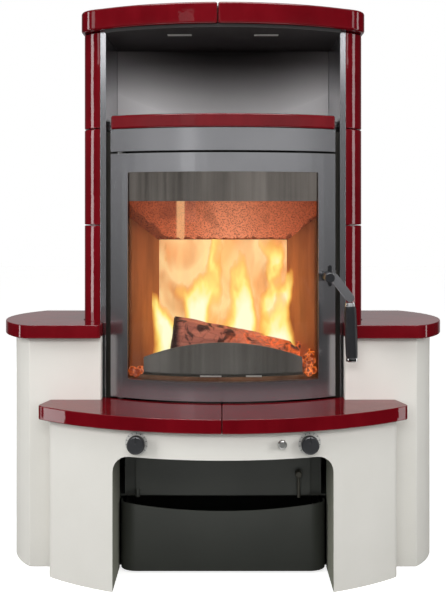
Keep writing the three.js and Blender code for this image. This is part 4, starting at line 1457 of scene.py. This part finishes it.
@dataclass
class Fire:
    """Log, charcoal and flames in the chamber, and the light that they give."""

    hearth_top: float = 0.4857
    strays: tuple[Place, ...] = (  # coals that fell beside the ends of the log guard: X, Y and rise
        (0.219, -0.062, 0.0), (0.232, -0.050, 0.002), (0.222, -0.040, 0.014), (0.231, -0.030, 0.024),
        (0.217, -0.026, 0.028), (0.226, -0.018, 0.040), (-0.222, -0.056, -0.003), (-0.231, -0.040, -0.002),
        (-0.214, -0.034, 0.0),
    )
    stray_middle: float = 9 * MM
    lumps: int = 46
    seed: int = 7
    longest_edge: float = 9 * MM
    ridge_depth: float = 2.6 * MM
    knot_depth: float = 2.2 * MM
    heart: Place = (0.02, 0.02, 0.74)
    warm_watts: float = 0.6
    sheets: list[FlameSheet] = field(default_factory=lambda: [
        FlameSheet("flames_middle", -0.190, 0.190, 0.095, -0.035, MIDDLE_FLAME),
        FlameSheet("flames_right", 0.080, 0.202, 0.055, -0.025, RIGHT_FLAME),
    ])

    def build(self) -> None:
        """Builds log, charcoal, flames and their light."""
        self.log_piece()
        self.charcoal()
        for sheet in self.sheets:
            sheet.build()
        self.light()

    def log_piece(self) -> None:
        """Roughens a copy of the plain log into bark, splits and a ragged end."""
        solid = merged("firewood_log")
        bmesh.ops.triangulate(solid, faces=solid.faces)
        for cuts in (3, 2, 1):
            long = [e for e in solid.edges if e.calc_length() > self.longest_edge]
            bmesh.ops.subdivide_edges(solid, edges=long, cuts=cuts, use_grid_fill=True)
            bmesh.ops.triangulate(solid, faces=solid.faces)
        bmesh.ops.smooth_vert(
            solid, verts=solid.verts, factor=0.5, use_axis_x=True, use_axis_y=True, use_axis_z=True
        )
        solid.normal_update()
        for vert in solid.verts:  # ridges that run along the log, and rounder knots
            x, y, z = vert.co.x * 22, vert.co.y * 95, vert.co.z * 95
            ridge = abs(math.sin(y + 1.7 * math.sin(x)) * math.cos(z - 1.3 * math.sin(x * 1.4)))
            knots = math.sin(vert.co.x * 61) * math.sin(vert.co.z * 47 + 1) * math.sin(vert.co.y * 53)
            vert.co -= vert.normal * (self.ridge_depth * ridge + self.knot_depth * (knots + 1))
        piece("burning_log", solid, Body.ROOT, LOG_WOOD, ("firewood_log",), smooth=50.0)

    @staticmethod
    def lump(picks: random.Random, size: float, least: float, most: float) -> Solid:
        """Makes one rough lump of charcoal round the origin.

        Args:
            picks: Source of its roughness.
            size: Its radius.
            least: Least share of the radius at any point.
            most: Greatest share of it.

        Returns:
            The lump's mesh.
        """
        made = bmesh.new()
        bmesh.ops.create_icosphere(made, subdivisions=2, radius=size)
        for vert in made.verts:
            vert.co *= picks.uniform(least, most)
        return made

    def charcoal(self) -> None:
        """Heaps lumps of charcoal over the ember bed, and drops a few beside the guard."""
        picks = random.Random(self.seed)
        low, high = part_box("ember_bed")
        middle = (low + high) / 2
        parts = [merged("ember_bed")]
        for _ in range(self.lumps):
            turn = picks.uniform(0, math.tau)
            reach = math.sqrt(picks.uniform(0.05, 0.9))
            size = picks.uniform(9, 17) * MM
            place = Vector((
                middle.x + reach * (high.x - middle.x) * math.cos(turn),
                middle.y + reach * (high.y - middle.y) * math.sin(turn),
                low.z + (high.z - low.z) * (1 - reach ** 2) + size * 0.35,
            ))
            lump = self.lump(picks, size, 0.82, 1.08)
            angle = picks.uniform(0, math.tau)
            tilt = Matrix.Rotation(angle, 4, Vector((picks.random(), picks.random(), 0.4)))
            lump.transform(Matrix.Translation(place) @ tilt @ Matrix.Diagonal((1.25, 0.9, 0.7, 1.0)))
            parts.append(lump)
        for x, y, rise in self.strays:
            lump = self.lump(picks, picks.uniform(10, 13) * MM, 0.85, 1.1)
            lump.transform(Matrix.Translation((x, y, self.hearth_top + self.stray_middle + rise)))
            parts.append(lump)
        piece("charcoal_bed", joined(parts), Body.ROOT, EMBERS, ("ember_bed",), smooth=35.0)

    def light(self) -> None:
        """Lights the chamber from the heart of the fire."""
        light = bpy.data.lights.new("firelight", "POINT")
        light.energy = self.warm_watts
        light.color = (1.0, 0.48, 0.18)
        light.shadow_soft_size = 0.05
        made = placed("firelight", light)
        made.location = self.heart
        for kind in ("camera", "glossy", "transmission"):
            setattr(made, f"visible_{kind}", False)


# ---------- Controls, ash box and wood drawer ----------


@dataclass
class AirControls:
    """Two air knobs over marked scales, and the grate pull."""

    knob_x: float = 0.204
    knob_z: float = 0.359
    bow_radius: float = 0.665 + 1.2 * MM  # front of the bench body, with the scale plate on it
    bow_middle: float = -0.335 + 0.690  # Y of the point round which the bench is bowed
    marks: int = 11
    first_mark: float = -125.0
    sweep: float = 250.0
    mark_radius: float = 24.3 * MM
    mark_size: Place = (1.1 * MM, 0.5 * MM, 3.6 * MM)
    mark_sink: float = 0.4

    def build(self) -> None:
        """Builds knobs, scales, marks and pull."""
        for side, body in ((Side.LEFT, Body.PRIMARY), (Side.RIGHT, Body.SECONDARY)):
            refined(f"{body.value}_knob", body, BLACK_MOULDING, 0.9 * MM, 3)
            refined(f"air_scale_{side.word}", Body.ROOT, SATIN_STEEL, 0.2 * MM, 1)
            self.scale_marks(side)
        refined("grate_pull_knob", Body.PULL, BARE_STEEL, 0.8 * MM, 3)
        dress("grate_pull_rod", BARE_STEEL)

    def scale_marks(self, side: Side) -> None:
        """Sets the plain tick marks of one scale on its bowed plate.

        Args:
            side: Which knob.
        """
        wide, thick, tall = self.mark_size
        parts = []
        for i in range(self.marks):
            angle = math.radians(self.first_mark + self.sweep * i / (self.marks - 1))
            x = side.value * self.knob_x + self.mark_radius * math.sin(angle)
            z = self.knob_z + self.mark_radius * math.cos(angle)
            face = self.bow_middle - math.sqrt(self.bow_radius ** 2 - x ** 2)
            mark = block((-wide / 2, -thick, -tall / 2), (wide / 2, thick * self.mark_sink, tall / 2))
            lean = Matrix.Rotation(math.asin(x / self.bow_radius), 4, "Z")
            mark.transform(Matrix.Translation((x, face, z)) @ lean @ Matrix.Rotation(angle, 4, "Y"))
            parts.append(mark)
        piece(f"scale_marks_{side.word}", joined(parts), Body.ROOT, BLACK_MOULDING)


@dataclass
class AshAndWood:
    """Ash box, its door and latch, the pan inside, and the wood drawer under them."""

    edge: float = 0.9 * MM
    fine_edge: float = 0.6 * MM

    def build(self) -> None:
        """Builds and dresses the pieces under the fire."""
        dress("ash_box", DARK_STEEL)
        dress("ash_pan", BARE_STEEL)
        refined("ash_door", Body.ASH_DOOR, DARK_STEEL, self.edge, 2)
        refined("ash_latch", Body.ASH_LATCH, CAST_IRON, self.fine_edge, 2)
        refined("drawer_front", Body.DRAWER, DARK_STEEL, self.edge, 2)
        refined("drawer_tub", Body.DRAWER, DARK_STEEL, self.fine_edge, 1)


def main() -> None:
    """Builds the studio and the stove."""
    logging.basicConfig(level=logging.INFO, format="%(message)s")
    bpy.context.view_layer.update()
    Studio().build()
    for kind in (
        TileWork, RenderedBodies, SteelColumn, FireDoor, DoorHandle, FireChamber, Fire, AirControls,
        AshAndWood,
    ):
        kind().build()
        log.info("%s is done", kind.__name__)


if __name__ == "__main__":
    main()
